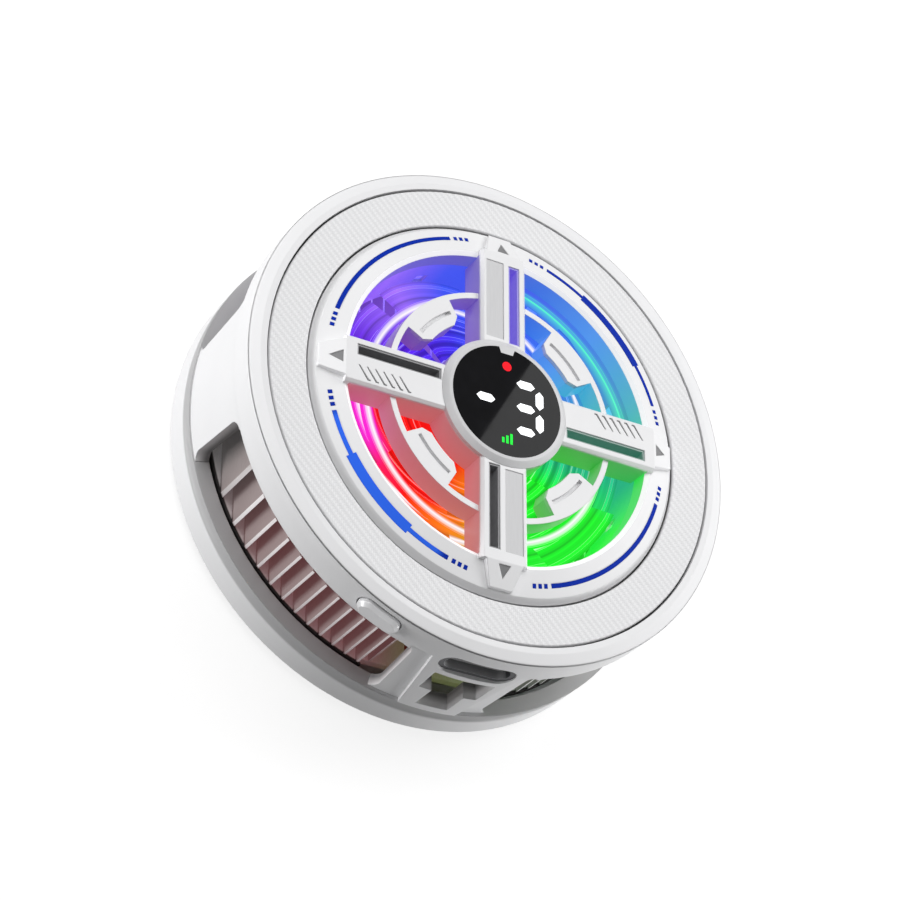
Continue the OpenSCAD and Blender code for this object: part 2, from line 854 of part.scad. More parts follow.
module ribbon_channel() {
    radial_box(usb_angle, ribbon_root_r - ribbon_room, window_r + inner_bevel,
        ribbon_u - ribbon_room, ribbon_u + ribbon_w + ribbon_room,
        z_spoke - cut, z_ribbon + ribbon_t + ribbon_room);
    radial_box(usb_angle, ribbon_root_r - ribbon_room, ribbon_root_r + ribbon_t + ribbon_room,
        ribbon_u - ribbon_room, ribbon_u + ribbon_w + ribbon_room, z_spoke - cut, z_display_board);
}

module display_ribbon() color("orange") {
    radial_box(usb_angle, ribbon_root_r, ribbon_tip_r, ribbon_u, ribbon_u + ribbon_w,
        z_ribbon, z_ribbon + ribbon_t);
    radial_box(usb_angle, ribbon_root_r, ribbon_root_r + ribbon_t, ribbon_u, ribbon_u + ribbon_w,
        z_ribbon, z_display_board);
    radial_box(usb_angle, ribbon_tip_r - ribbon_t, ribbon_tip_r, ribbon_u, ribbon_u + ribbon_w,
        z_board_top, z_ribbon + ribbon_t);
}

// Blue arcs and dots, following the slope of the grille ring
accent_start = 17.5;
accent_mid = 31.5;
dot_first = 11.5;
dot_step = 2;
dot_angle = 1.15;
inlay_depth = 0.15;
inlay_proud = 0.03;

module accent_bar(r, w, a0, a1, gap, top) {
    rotate([0, 0, a0 - gap])
        rotate_extrude(angle = a1 - a0 + 2 * gap)
            polygon([
                [r - w / 2 - gap, ring_top(r - w / 2 - gap) - inlay_depth],
                [r + w / 2 + gap, ring_top(r + w / 2 + gap) - inlay_depth],
                [r + w / 2 + gap, ring_top(r + w / 2 + gap) + top],
                [r - w / 2 - gap, ring_top(r - w / 2 - gap) + top]
            ]);
}

module accents(gap, top) {
    for (quarter = [0 : 3])
        rotate([0, 0, quadrant * quarter]) {
            accent_bar(accent_r, accent_w, accent_start, quadrant - accent_start, gap, top);
            if (quarter % 2 == 0)
                accent_bar(accent_r, accent_thick_w, accent_mid, quadrant - accent_mid, gap, top);
            for (i = [0 : 2])
                for (middle = [dot_first + i * dot_step, quadrant - dot_first - i * dot_step])
                    accent_bar(accent_r, accent_w, middle - dot_angle / 2, middle + dot_angle / 2,
                        gap, top);
        }
}

module accent_inlays() color("mediumblue") {
    accents(0, inlay_proud);
}

grille_screw_inset = 1.2;
grille_screw_r = grille_r - grille_screw_inset;
grille_screw_l = 1.2;

module front_grille() color("white") {
    difference() {
        union() {
            grille_ring();
            ring(arc_r, arc_r + arc_w, z_arc_top - arc_h, z_arc_top);
            arc_tabs();
            hub_cup();
            for (angle = post_angles)
                rotate([0, 0, angle]) {
                    difference() {
                        spoke_bar();
                        translate([0, 0, z_spoke - cut])
                            cylinder(r = hub_r - fit_gap, h = spoke_h + 2 * cut);
                    }
                    spoke_tip();
                }
        }
        for (angle = post_angles)
            rotate([0, 0, angle]) {
                spoke_slot();
                pointer_mark(0, 2 * mark_depth);
            }
        for (angle = [90, -90])
            rotate([0, 0, angle])
                spoke_panel(0, 2 * mark_depth);
        for (angle = [0, 180])
            rotate([0, 0, angle])
                slash_marks(0, 2 * mark_depth);
        ring(window_r - fit_gap, grille_r + cut, z_spoke - cut, z_deck_top);
        translate([0, 0, z_hub_rim])
            cylinder(r = hub_r + press_gap, h = spoke_h);
        ribbon_channel();
        accents(inlay_gap, cut);
        for (angle = corner_angles)
            post(angle, grille_screw_r, screw_r + press_gap, z_deck_top - cut,
                z_deck_top + grille_screw_l + fit_gap);
    }
}

// DISPLAY

bezel_lip = 0.05;
notch_w = 2.2;
notch_taper = 0.3;
notch_h = 0.8;
hub_slope_w = 0.68;
hub_slope_h = 0.56;

// Small pale tab of the hub bezel that reaches over the lens
module lens_tab(gap) {
    polygon([
        [-notch_w / 2 - gap, lens_r + bezel_lip + gap], [notch_w / 2 + gap, lens_r + bezel_lip + gap],
        [notch_w / 2 - notch_taper + gap, lens_r - notch_h - gap],
        [notch_taper - notch_w / 2 - gap, lens_r - notch_h - gap]
    ]);
}

module hub_bezel() color("silver") {
    rotate_extrude()
        polygon([
            [lens_r + bezel_lip, z_hub_rim], [hub_r, z_hub_rim], [hub_r, z_lens_top - hub_slope_h],
            [hub_r - hub_slope_w, z_lens_top - bezel_lip], [lens_r + bezel_lip, z_lens_top]
        ]);
    translate([0, 0, z_lens_top - segment_depth])
        linear_extrude(segment_depth)
            difference() {
                lens_tab(0);
                circle(r = lens_r - notch_h);
            }
}

digit_x = 2.55;
digit_y = -0.25;
digit_side = 1.9;
minus_x = -2.9;

// Outline of one display segment, pointed at both ends
module segment(x, y, turn, gap) {
    translate([x, y])
        rotate(turn)
            polygon([
                [-segment_l / 2 - gap, 0], [-segment_l / 2 + segment_w / 2, segment_w / 2 + gap],
                [segment_l / 2 - segment_w / 2, segment_w / 2 + gap], [segment_l / 2 + gap, 0],
                [segment_l / 2 - segment_w / 2, -segment_w / 2 - gap],
                [-segment_l / 2 + segment_w / 2, -segment_w / 2 - gap]
            ]);
}

module segments(gap) {
    segment(minus_x, digit_y, 0, gap);
    for (row = [-1, 0, 1])
        segment(digit_x, digit_y + row * digit_pitch, 0, gap);
    for (row = [-1, 1])
        segment(digit_x + digit_side, digit_y + row * digit_pitch / 2, 90, gap);
}

red_y = 4.8;
red_r = 0.62;
green_y = -5;
green_w = 0.32;
green_pitch = 0.56;
green_h = [0.7, 1.05, 1.4];

// Round warning dot
module red_mark(gap) {
    translate([0, red_y])
        circle(r = red_r + gap);
}

// Rising bars that show the power level
module green_mark(gap) {
    for (i = [0 : 2])
        translate([(i - 1) * green_pitch - green_w / 2 - gap, green_y - green_h[2] / 2 - gap])
            square([green_w + 2 * gap, green_h[i] + 2 * gap]);
}

module lit_mark() {
    translate([0, 0, z_lens_top - segment_depth])
        linear_extrude(segment_depth)
            children();
}

module display_lens() color("black") {
    difference() {
        translate([0, 0, z_lens])
            cylinder(r = lens_r, h = lens_t);
        translate([0, 0, z_lens_top - segment_depth])
            linear_extrude(segment_depth + cut) {
                segments(inlay_gap);
                red_mark(inlay_gap);
                green_mark(inlay_gap);
                lens_tab(inlay_gap);
            }
    }
}

module display_segments() color("white")
    lit_mark()
        segments(0);

module indicator_red() color("red")
    lit_mark()
        red_mark(0);

module indicator_green() color("lime")
    lit_mark()
        green_mark(0);

// Board under the lens, carried on the hub's step, with the spacer that holds the lens
module display_board() color("darkgreen") {
    translate([0, 0, z_display_board])
        cylinder(r = pocket_r - fit_gap, h = board_disc_t);
    ring(pocket_step_r - spacer_w, pocket_step_r, z_display_board + board_disc_t, z_lens);
}

// FAN

arm_root_r = 6;
motor_base_r = 8.2;
tube_r = 2.2;
tube_wall = 0.6;
tube_skin = 0.4;
led_count = 8;
led_w = 1.5;
led_out = 0.45;
led_room = 0.1;
led_lift = 0.6;
z_led = z_blade + led_lift;
motor_ribbon_w = 2.4;
motor_ribbon_t = 0.4;
deck_gap = 0.32;
deck_r = bezel_lip_r - deck_gap;
button_clear = 0.9;
head_gap = 0.05;
z_frame_seat = z_deck_top - screw_head_h - head_gap;

module led_pockets(gap) {
    for (i = [0 : led_count - 1])
        radial_box(360 / led_count * (i + 0.5), window_r + led_out - gap, duct_r,
            -led_w / 2 - gap, led_w / 2 + gap, z_led - gap, z_led + led_w + gap);
}

module fan_frame() color("gainsboro") {
    difference() {
        union() {
            ring(window_r, deck_r, z_deck, z_deck_top);
            ring(window_r, duct_r, z_motor, z_deck_top);
            translate([0, 0, z_motor])
                cylinder(r = motor_base_r, h = motor_base_t);
            for (angle = post_angles)
                radial_box(angle, arm_root_r, window_r + duct_wall / 2, -arm_w / 2, arm_w / 2,
                    z_motor, z_motor_top);
        }
        translate([0, 0, z_motor + tube_skin])
            cylinder(r = tube_r + press_gap, h = motor_base_t);
        led_pockets(led_room);
        for (i = [0 : led_count - 1])
            radial_box(360 / led_count * (i + 0.5), window_r - cut, duct_r - cut,
                -led_w / 2 - led_room, led_w / 2 + led_room, z_led - led_room, z_led + led_w + led_room);
        for (angle = corner_angles) {
            post(angle, frame_ring_r, screw_r + fit_gap, z_deck - cut, z_deck_top + cut);
            post(angle, frame_ring_r, screw_head_r + fit_gap, z_frame_seat, z_deck_top + cut);
            post(angle, grille_screw_r, screw_r + fit_gap, z_deck - cut, z_deck_top + cut);
        }
        radial_box(button_angle, switch_in_r - button_clear, case_r, -button_notch_w / 2 - fit_gap,
            button_notch_w / 2 + fit_gap, z_deck - cut, z_deck_top + cut);
        radial_box(usb_angle, window_r - cut, ribbon_tip_r + ribbon_room, ribbon_u - ribbon_room,
            ribbon_u + ribbon_w + ribbon_room, z_deck - cut, z_deck_top + cut);
        radial_box(usb_angle, window_r - cut, duct_r + cut, -motor_ribbon_w / 2 - fit_gap,
            motor_ribbon_w / 2 + fit_gap, z_motor_top, z_motor_top + motor_ribbon_t + fit_gap);
    }
}

module led_strip() color("darkorange") {
    ring(duct_r, duct_r + strip_t, z_led, z_led + led_w);
}

module rgb_leds() color("lightyellow") {
    led_pockets(0);
}

z_tube = z_motor + tube_skin;
tube_head_gap = 0.4;
hub_cap_t = 0.8;
hub_wall = 0.45;
cup_t = 0.5;
z_hub_in = z_blade_top - hub_cap_t;
z_cup_in = z_hub_in - cup_t;
z_tube_top = z_cup_in - tube_head_gap;
rotor_r = fan_hub_r - hub_wall;
bush_r = tube_r - tube_wall - press_gap;
shaft_seat = 0.48;
clip_w = 0.55;
clip_r = shaft_r + clip_w;
clip_t = 0.25;
clip_groove = 0.15;
clip_lift = 0.35;
clip_gap = 0.15;
z_clip = z_tube + clip_lift;
z_bush = z_clip + clip_t + clip_gap;

module bearing_tube() color("goldenrod") {
    ring(tube_r - tube_wall, tube_r, z_tube, z_tube_top);
}

module bearing_bush() color("peru") {
    ring(shaft_r + shaft_gap, bush_r, z_bush, z_tube_top - fit_gap);
}

motor_board_t = 0.6;
coil_over = 0.5;
coil_lift = 0.05;
magnet_thick = 1.1;
air_gap = 0.4;
stator_r = rotor_r - cup_t - magnet_thick - air_gap;
z_motor_board = z_motor_top;
z_coil = z_motor_board + motor_board_t + coil_lift;
z_coil_top = z_cup_in - moving_gap;
z_core = z_coil + coil_over;
z_core_top = z_coil_top - coil_over;
core_hub_w = 0.7;
core_hub_r = tube_r + core_hub_w;
pole_root = 0.2;
pole_w = 1.2;
shoe_t = 0.7;
shoe_half = 34;
coil_w = 3;
coil_gap = 0.1;
coil_in_r = core_hub_r + coil_gap;
coil_out_r = sqrt(pow(stator_r - shoe_t, 2) - pow(coil_w / 2, 2)) - coil_gap;

module motor_board() color("green") {
    ring(tube_r + fit_gap, stator_r + fit_gap, z_motor_board, z_motor_board + motor_board_t);
}

module stator_core() color("dimgray") {
    ring(tube_r + press_gap, core_hub_r, z_core, z_core_top);
    for (angle = post_angles) {
        radial_box(angle, core_hub_r - pole_root, stator_r - shoe_t / 2, -pole_w / 2, pole_w / 2,
            z_core, z_core_top);
        arc_bar(stator_r - shoe_t, stator_r, z_core, z_core_top, angle - shoe_half, angle + shoe_half);
    }
}

module stator_coils() color("chocolate") {
    for (angle = post_angles)
        difference() {
            radial_box(angle, coil_in_r, coil_out_r, -coil_w / 2, coil_w / 2, z_coil, z_coil_top);
            radial_box(angle, coil_in_r - cut, coil_out_r + cut, -pole_w / 2 - press_gap,
                pole_w / 2 + press_gap, z_core - press_gap, z_core_top + press_gap);
        }
}

module motor_ribbon() color("orange") {
    radial_box(usb_angle, stator_r + 2 * fit_gap, board_in_r, -motor_ribbon_w / 2, motor_ribbon_w / 2,
        z_motor_top, z_motor_top + motor_ribbon_t);
}

// One blade: a pitched sheet whose two edges are swept arcs
blade_root = 0.25;
blade_sink = 0.2;
blade_root_r = fan_hub_r - blade_root;
blade_tip_r = window_r - tip_gap;
blade_edge_r = sqrt(blade_root_r * blade_root_r + blade_curve * blade_curve);
blade_sweep = asin((pow(blade_tip_r, 2) - pow(blade_root_r, 2)) / (2 * blade_tip_r * blade_curve));
blade_mid = (blade_span + blade_sweep) / 2;
z_blade_mid = (z_blade + z_blade_top) / 2 - blade_sink;

module blade_edge() {
    translate([0, blade_curve])
        circle(r = blade_edge_r);
}

module blade() {
    intersection() {
        ring(blade_root_r, blade_tip_r, z_blade, z_blade_top - fit_gap);
        translate([0, 0, z_blade - cut])
            linear_extrude(z_blade_top - z_blade + 2 * cut)
                difference() {
                    blade_edge();
                    rotate(blade_span)
                        blade_edge();
                }
        rotate([0, 0, blade_mid])
            translate([0, 0, z_blade_mid])
                rotate([blade_pitch, 0, 0])
                    cube([reach, reach, blade_t], center = true);
    }
}

hub_edge = 0.5;

module impeller() color("lavender") {
    difference() {
        union() {
            rotate_extrude()
                polygon([
                    [0, z_blade], [fan_hub_r, z_blade], [fan_hub_r, z_blade_top - hub_edge],
                    [fan_hub_r - hub_edge, z_blade_top], [0, z_blade_top]
                ]);
            for (i = [0 : blade_count - 1])
                rotate([0, 0, 360 / blade_count * i])
                    blade();
            ring(hoop_r, hoop_r + hoop_w, z_blade_top - hoop_h, z_blade_top);
        }
        translate([0, 0, z_blade - cut])
            cylinder(r = rotor_r + press_gap, h = z_hub_in - z_blade + cut);
        translate([0, 0, z_hub_in - cut])
            cylinder(r = shaft_r + press_gap, h = cut + shaft_seat);
    }
}

module rotor_cup() color("gray") {
    ring(rotor_r - cup_t, rotor_r, z_blade, z_hub_in);
    ring(shaft_r + press_gap, rotor_r - cup_t / 2, z_cup_in, z_hub_in);
}

module rotor_magnet() color("darkslategray") {
    ring(rotor_r - cup_t - magnet_thick, rotor_r - cup_t - press_gap, z_blade + fit_gap,
        z_cup_in - fit_gap);
}

module rotor_shaft() color("lightgray") {
    difference() {
        translate([0, 0, z_tube + fit_gap])
            cylinder(r = shaft_r, h = z_hub_in + shaft_seat - z_tube - 2 * fit_gap);
        ring(shaft_r - clip_groove, shaft_r + cut, z_clip, z_clip + clip_t);
    }
}

module shaft_clip() color("black") {
    ring(shaft_r - clip_groove + press_gap, clip_r, z_clip + press_gap, z_clip + clip_t - press_gap);
}

// COOLER

fin_pairs = floor(sink_r / fin_pitch);
fin_root = sink_plate / 2;
bay_gap = 0.4;
bay_flat = 2;
bay_half = rib_u + bay_gap + fin_pitch;
lead_r = 0.5;
lead_u = 2;
lead_gap = 0.05;
lead_out_r = board_out_r + lead_r + lead_gap;
lead_room = 0.3;
lead_rise = 3;
z_lead = z_plate - lead_r - lead_room;
z_lead_top = z_fins + lead_rise;

module fins() {
    intersection() {
        translate([0, 0, z_fins - fin_root])
            cylinder(r = sink_r, h = z_fin_top - z_fins + fin_root);
        for (i = [-fin_pairs : fin_pairs - 1])
            translate([(i + 0.5) * fin_pitch - fin_t / 2, -sink_r, z_fins - fin_root])
                cube([fin_t, 2 * sink_r, z_fin_top - z_fins + fin_root]);
    }
}

module heat_sink() color("lightgray") {
    difference() {
        union() {
            translate([0, 0, z_plate])
                cylinder(r = sink_r, h = sink_plate);
            fins();
        }
        for (angle = screw_posts) {
            post(angle, boss_ring_r, boss_r + bay_gap, z_plate - cut, z_fin_top + cut);
            radial_box(angle, boss_ring_r, case_r, -boss_r - bay_gap, boss_r + bay_gap,
                z_plate - cut, z_fin_top + cut);
        }
        radial_box(usb_angle, board_in_r - bay_gap, case_r, -rib_u - bay_gap, rib_u + bay_gap,
            z_fins, z_fin_top + cut);
        radial_box(usb_angle, sink_r - bay_flat, case_r, -bay_half, bay_half,
            z_plate - cut, z_fin_top + cut);
        radial_box(usb_angle, lead_out_r - lead_r - lead_room, lead_out_r + lead_r + lead_room,
            -lead_u - lead_r - lead_room, lead_u + lead_r + lead_room, z_plate - cut, z_fins + cut);
    }
}

ceramic_t = 0.6;
leg_rows = 7;
leg_w = 1.5;
leg_inset = 1.4;
leg_pitch = (peltier_w - 2 * leg_inset - leg_w) / (leg_rows - 1);

module peltier_plates() color("white") {
    for (z = [z_cold, z_plate - ceramic_t])
        translate([-peltier_w / 2, -peltier_w / 2, z])
            cube([peltier_w, peltier_w, ceramic_t]);
}

module peltier_legs() color("slategray") {
    for (i = [0 : leg_rows - 1])
        for (j = [0 : leg_rows - 1])
            translate([leg_inset - peltier_w / 2 + i * leg_pitch, leg_inset - peltier_w / 2 + j * leg_pitch,
                z_cold + ceramic_t])
                cube([leg_w, leg_w, peltier_t - 2 * ceramic_t]);
}

// Two insulated leads from the module to the control board
module peltier_leads() color("firebrick") {
    for (u = [-lead_u, lead_u])
        rotate([0, 0, usb_angle]) {
            translate([peltier_w / 2, u, z_lead])
                rotate([0, 90, 0])
                    cylinder(r = lead_r, h = lead_out_r - peltier_w / 2);
            translate([lead_out_r, u, z_lead])
                sphere(r = lead_r);
            translate([lead_out_r, u, z_lead])
                cylinder(r = lead_r, h = z_lead_top - z_lead);
            translate([lead_out_r, u, z_lead_top])
                sphere(r = lead_r);
            translate([board_out_r, u, z_lead_top])
                rotate([0, 90, 0])
                    cylinder(r = lead_r, h = lead_out_r - board_out_r);
        }
}

foam_gap = 0.3;
foam_over = 1.8;
foam_w = 3.2;
foam_half = peltier_w / 2 + foam_gap + foam_w;
flange_over = 0.2;
foam_r = cold_r + foam_over;

module foam_frame() color("dimgray") {
    difference() {
        intersection() {
            translate([0, 0, z_cold])
                cylinder(r = foam_r, h = peltier_t);
            translate([-foam_half, -foam_half, z_cold - cut])
                cube([2 * foam_half, 2 * foam_half, peltier_t + 2 * cut]);
        }
        translate([-peltier_w / 2 - foam_gap, -peltier_w / 2 - foam_gap, z_cold - cut])
            cube([peltier_w + 2 * foam_gap, peltier_w + 2 * foam_gap, peltier_t + 2 * cut]);
        for (u = [-lead_u, lead_u])
            radial_box(usb_angle, 0, sink_r, u - lead_r - fit_gap, u + lead_r + fit_gap,
                z_lead - lead_r - fit_gap, z_plate + cut);
    }
}

module cold_plate() color("silver") {
    cylinder(r = cold_r, h = z_floor);
    translate([0, 0, z_floor])
        cylinder(r = foam_r + flange_over, h = cold_flange);
}

module contact_pad() color("lightgray") {
    ring(pad_r, pad_outer_r, 0, pad_t);
}

magnet_split = 2;
z_magnet = z_floor - magnet_sink;
yoke_t = 0.4;

module magnet_ring() color("gray") {
    for (i = [0 : magnet_count - 1])
        arc_bar(magnet_r, magnet_r + magnet_w, z_magnet, z_magnet + magnet_h,
            360 / magnet_count * i, 360 / magnet_count * (i + 1) - magnet_split);
}

module magnet_yoke() color("darkgray") {
    ring(magnet_r, magnet_r + magnet_w, z_magnet + magnet_h, z_magnet + magnet_h + yoke_t);
}

// SOCKET AND BUTTON

module control_board() color("seagreen") {
    radial_box(usb_angle, board_in_r, board_out_r, -board_w / 2, board_w / 2, z_board, z_board_top);
}

// Chips on the control board: [across, up, width, height, depth]
chips = [[0, 7.3, 3.6, 3.6, 1], [-3.8, 7, 2.4, 3, 1.6], [3.8, 7, 2.4, 3, 1.6],
    [-4.4, 3, 1.6, 2.6, 0.8], [4.4, 3, 1.6, 2.6, 0.8]];

module board_chips() color("black") {
    for (chip = chips)
        radial_box(usb_angle, board_out_r, board_out_r + chip[4], chip[0] - chip[2] / 2,
            chip[0] + chip[2] / 2, z_board + chip[1] - chip[3] / 2, z_board + chip[1] + chip[3] / 2);
}

usb_set_back = 0.5;
usb_collar_l = 0.8;
usb_out_r = case_r - usb_set_back;
tongue_w = 6.69;
tongue_t = 0.7;
tongue_back = 0.6;

module usb_shell() color("silver") {
    difference() {
        union() {
            outward(usb_angle, board_out_r, usb_out_r)
                translate([0, z_usb])
                    pill(usb_w, usb_h);
            outward(usb_angle, usb_out_r - usb_collar_l, usb_out_r)
                translate([0, z_usb])
                    pill(usb_slot_w - 2 * inlay_gap, usb_slot_h - 2 * inlay_gap);
        }
        outward(usb_angle, board_out_r + usb_wall, usb_out_r + cut)
            translate([0, z_usb])
                pill(usb_w - 2 * usb_wall, usb_h - 2 * usb_wall);
    }
}

module usb_tongue() color("black") {
    outward(usb_angle, board_out_r + usb_wall, usb_out_r - tongue_back)
        translate([0, z_usb])
            square([tongue_w, tongue_t], center = true);
}

button_edge = 0.45;
button_face_r = case_r + button_proud;

// Button cap with a bevelled face: two coned ends and the bar between them
module button_cap() {
    r = button_h / 2;
    r_face = r - button_edge;
    straight = button_w - button_h;
    outward(0, button_back_r + button_flange_t / 2, button_face_r - button_edge)
        pill(button_w, button_h);
    translate([button_face_r - button_edge, 0, 0]) {
        for (side = [-1, 1])
            translate([0, side * straight / 2, 0])
                rotate([0, 90, 0])
                    cylinder(r1 = r, r2 = r_face, h = button_edge);
        translate([0, straight / 2, 0])
            rotate([90, 0, 0])
                linear_extrude(straight)
                    polygon([[0, -r], [button_edge, -r_face], [button_edge, r_face], [0, r]]);
    }
}

module power_button() color("white") {
    translate([0, 0, z_button])
        rotate([0, 0, button_angle]) {
            button_cap();
            outward(0, button_back_r, button_back_r + button_flange_t)
                pill(button_w + 2 * button_flange_lip, button_h);
        }
}

plunger_gap = 0.06;
z_plunger = z_switch + switch_h / 2;

module plunger_rod(r, r0, r1) {
    rotate([0, 0, button_angle])
        translate([r0, 0, z_plunger])
            rotate([0, 90, 0])
                cylinder(r = r, h = r1 - r0);
}

module switch_plunger() color("gray") {
    plunger_rod(plunger_r, switch_out_r - plunger_grip, button_back_r);
}

module switch_body() color("black") {
    difference() {
        radial_box(button_angle, switch_in_r, switch_out_r, -switch_w / 2, switch_w / 2,
            z_switch, z_switch + switch_h);
        plunger_rod(plunger_r + plunger_gap, switch_out_r - plunger_grip - button_travel - moving_gap,
            switch_out_r + cut);
    }
}

module switch_board() color("green") {
    radial_box(button_angle, switch_in_r - switch_board_over, button_back_r - button_travel - moving_gap,
        -shelf_w / 2 + fit_gap, shelf_w / 2 - fit_gap, z_switch_board, z_switch);
}

// SCREWS

case_screw_tip = 4.6;

module screw(z_seat, z_head, z_tip) {
    translate([0, 0, min(z_seat, z_head)])
        cylinder(r = screw_head_r, h = abs(z_head - z_seat));
    translate([0, 0, min(z_seat, z_tip)])
        cylinder(r = screw_r, h = abs(z_tip - z_seat));
}

module case_screws() color("dimgray") {
    for (angle = screw_posts)
        rotate([0, 0, angle])
            translate([boss_ring_r, 0, 0])
                screw(z_head_seat, z_head_seat - screw_head_h, z_sill + case_screw_tip);
}

module frame_screws() color("dimgray") {
    for (angle = corner_angles)
        rotate([0, 0, angle])
            translate([frame_ring_r, 0, 0])
                screw(z_frame_seat, z_frame_seat + screw_head_h, z_frame_boss);
}

module grille_screws() color("dimgray") {
    for (angle = corner_angles)
        rotate([0, 0, angle])
            translate([grille_screw_r, 0, 0])
                screw(z_deck, z_deck - screw_head_h, z_deck_top + grille_screw_l);
}

side_housing();
front_bezel();
rear_cover();
trim_ring();
trim_adhesive();
front_grille();
accent_inlays();
mark_inlays();
panel_inlays();
slot_liners();
hub_bezel();
display_lens();
display_segments();
indicator_red();
indicator_green();
display_board();
display_ribbon();
fan_frame();
led_strip();
rgb_leds();
bearing_tube();
bearing_bush();
stator_core();
stator_coils();
motor_board();
motor_ribbon();
impeller();
rotor_cup();
rotor_magnet();
rotor_shaft();
shaft_clip();
heat_sink();
peltier_plates();
peltier_legs();
peltier_leads();
foam_frame();
cold_plate();
contact_pad();
magnet_ring();
magnet_yoke();
control_board();
board_chips();
usb_shell();
usb_tongue();
power_button();
switch_plunger();
switch_body();
switch_board();
case_screws();
frame_screws();
grille_screws();
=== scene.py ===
"""Looks of a round magnetic phone cooler: white case, woven trim, lit fan and black display."""

from functools import partial
import json
import math

import bpy
from mathutils import Matrix, Vector


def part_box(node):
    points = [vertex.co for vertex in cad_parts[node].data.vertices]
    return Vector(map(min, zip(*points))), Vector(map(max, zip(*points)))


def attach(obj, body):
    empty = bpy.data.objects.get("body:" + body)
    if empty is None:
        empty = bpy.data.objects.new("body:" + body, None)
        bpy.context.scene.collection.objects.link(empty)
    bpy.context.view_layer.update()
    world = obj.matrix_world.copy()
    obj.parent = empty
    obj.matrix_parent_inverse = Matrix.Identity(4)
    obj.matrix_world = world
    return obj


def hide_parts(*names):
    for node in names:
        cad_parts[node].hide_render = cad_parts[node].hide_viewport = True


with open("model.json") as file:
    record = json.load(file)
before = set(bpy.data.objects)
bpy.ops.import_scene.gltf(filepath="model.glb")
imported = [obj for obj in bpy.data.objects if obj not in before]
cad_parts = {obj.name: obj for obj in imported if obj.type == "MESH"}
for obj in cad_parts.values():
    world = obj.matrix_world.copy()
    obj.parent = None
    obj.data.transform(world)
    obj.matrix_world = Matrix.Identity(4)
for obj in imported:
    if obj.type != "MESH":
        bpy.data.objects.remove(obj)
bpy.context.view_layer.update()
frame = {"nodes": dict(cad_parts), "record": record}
NODES = frame["nodes"]
MM = 0.001


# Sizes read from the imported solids

def radii(node):
    """Smallest and largest distance of a node's points from the fan axis, in metres."""
    spread = [math.hypot(v.co.x, v.co.y) for v in NODES[node].data.vertices]
    return min(spread), max(spread)


STRIP_TO_WINDOW = 1.75 * MM
COVE_HEIGHT = 2.0 * MM
COVE_LIP = 0.1 * MM
SINK_PLATE = 1.0 * MM
SPOKE_SHADE_DROP = 1.2 * MM
TAB_FLOOR_DROP = 1.95 * MM
DUCT_LINE_DROP = 0.45 * MM

WINDOW_R = radii("led_strip")[0] - STRIP_TO_WINDOW
TRIM_IN_R, TRIM_OUT_R = radii("trim_ring")
TRIM_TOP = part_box("trim_ring")[1].z
TRIM_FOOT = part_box("trim_ring")[0].z
FAN_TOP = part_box("impeller")[1].z
LENS_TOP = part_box("display_lens")[1].z
CASE_R = radii("side_housing")[1]
SINK_R = radii("heat_sink")[1]
BASE_R = radii("rear_cover")[1]
WALL_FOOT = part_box("side_housing")[0].z
COVE_FOOT, COVE_TOP = WALL_FOOT - COVE_HEIGHT, WALL_FOOT - COVE_LIP
PLATE_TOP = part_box("heat_sink")[0].z + SINK_PLATE
SPOKE_SHADE = LENS_TOP - SPOKE_SHADE_DROP
TAB_FLOOR = LENS_TOP - TAB_FLOOR_DROP
DUCT_LINE = FAN_TOP - DUCT_LINE_DROP


# Camera at the photograph's place, and the studio round the object

CAMERA_AT = Vector((-0.14484, -0.16943, 0.2661))
CAMERA_RIGHT = Vector((0.8675, 0.0051, 0.4973))
CAMERA_UP = Vector((-0.2531, 0.8653, 0.4327))
LENS_MM = 111.93
SENSOR_MM = 36.0
CLIP_START, CLIP_END = 0.01, 20.0

WORLD_LIGHT = 0.18
FLOOR_SIZE = 4.0
FLOOR_DROP = 0.05 * MM
FLOOR_TONE = 0.30
FLOOR_LIFT = 0.80

# Softboxes: name, azimuth and elevation in degrees, distance, width and height in metres, watts.
# The two strips lie low: they light the wall and leave the front to the other lamps.
SOFTBOXES = [
    ("strip_left", 180.0, 2.5, 0.25, 0.16, 0.018, 0.40),
    ("strip_right", -26.0, 2.5, 0.25, 0.16, 0.018, 0.34),
    ("softbox_top", 135.0, 65.0, 0.40, 0.30, 0.30, 0.88),
]

# Softbox behind the object, whose near edge is mirrored along this line of the lens
MIRROR_LINE = (Vector((-3.72 * MM, -6.34 * MM)), Vector((3.17 * MM, 6.01 * MM)))
MIRROR_DISTANCE = 0.62
MIRROR_SIDE = 0.35
MIRROR_POWER = 2.4


def make_camera():
    """Camera from its place and its two axes in the picture."""
    right = CAMERA_RIGHT.normalized()
    back = right.cross(CAMERA_UP).normalized()
    up = back.cross(right)
    data = bpy.data.cameras.new("camera")
    data.lens = LENS_MM
    data.sensor_width = SENSOR_MM
    data.clip_start = CLIP_START
    data.clip_end = CLIP_END
    camera = bpy.data.objects.new("camera", data)
    bpy.context.scene.collection.objects.link(camera)
    axes = Matrix((right, up, back)).transposed().to_4x4()
    camera.matrix_world = Matrix.Translation(CAMERA_AT) @ axes
    bpy.context.scene.camera = camera


def seen_directly(nodes, links):
    """Socket that is 1 for camera, glossy and transmission rays, and 0 for the rest."""
    path = nodes.new("ShaderNodeLightPath")
    first = nodes.new("ShaderNodeMath")
    first.operation = "MAXIMUM"
    second = nodes.new("ShaderNodeMath")
    second.operation = "MAXIMUM"
    links.new(path.outputs["Is Camera Ray"], first.inputs[0])
    links.new(path.outputs["Is Glossy Ray"], first.inputs[1])
    links.new(first.outputs[0], second.inputs[0])
    links.new(path.outputs["Is Transmission Ray"], second.inputs[1])
    return second.outputs[0]


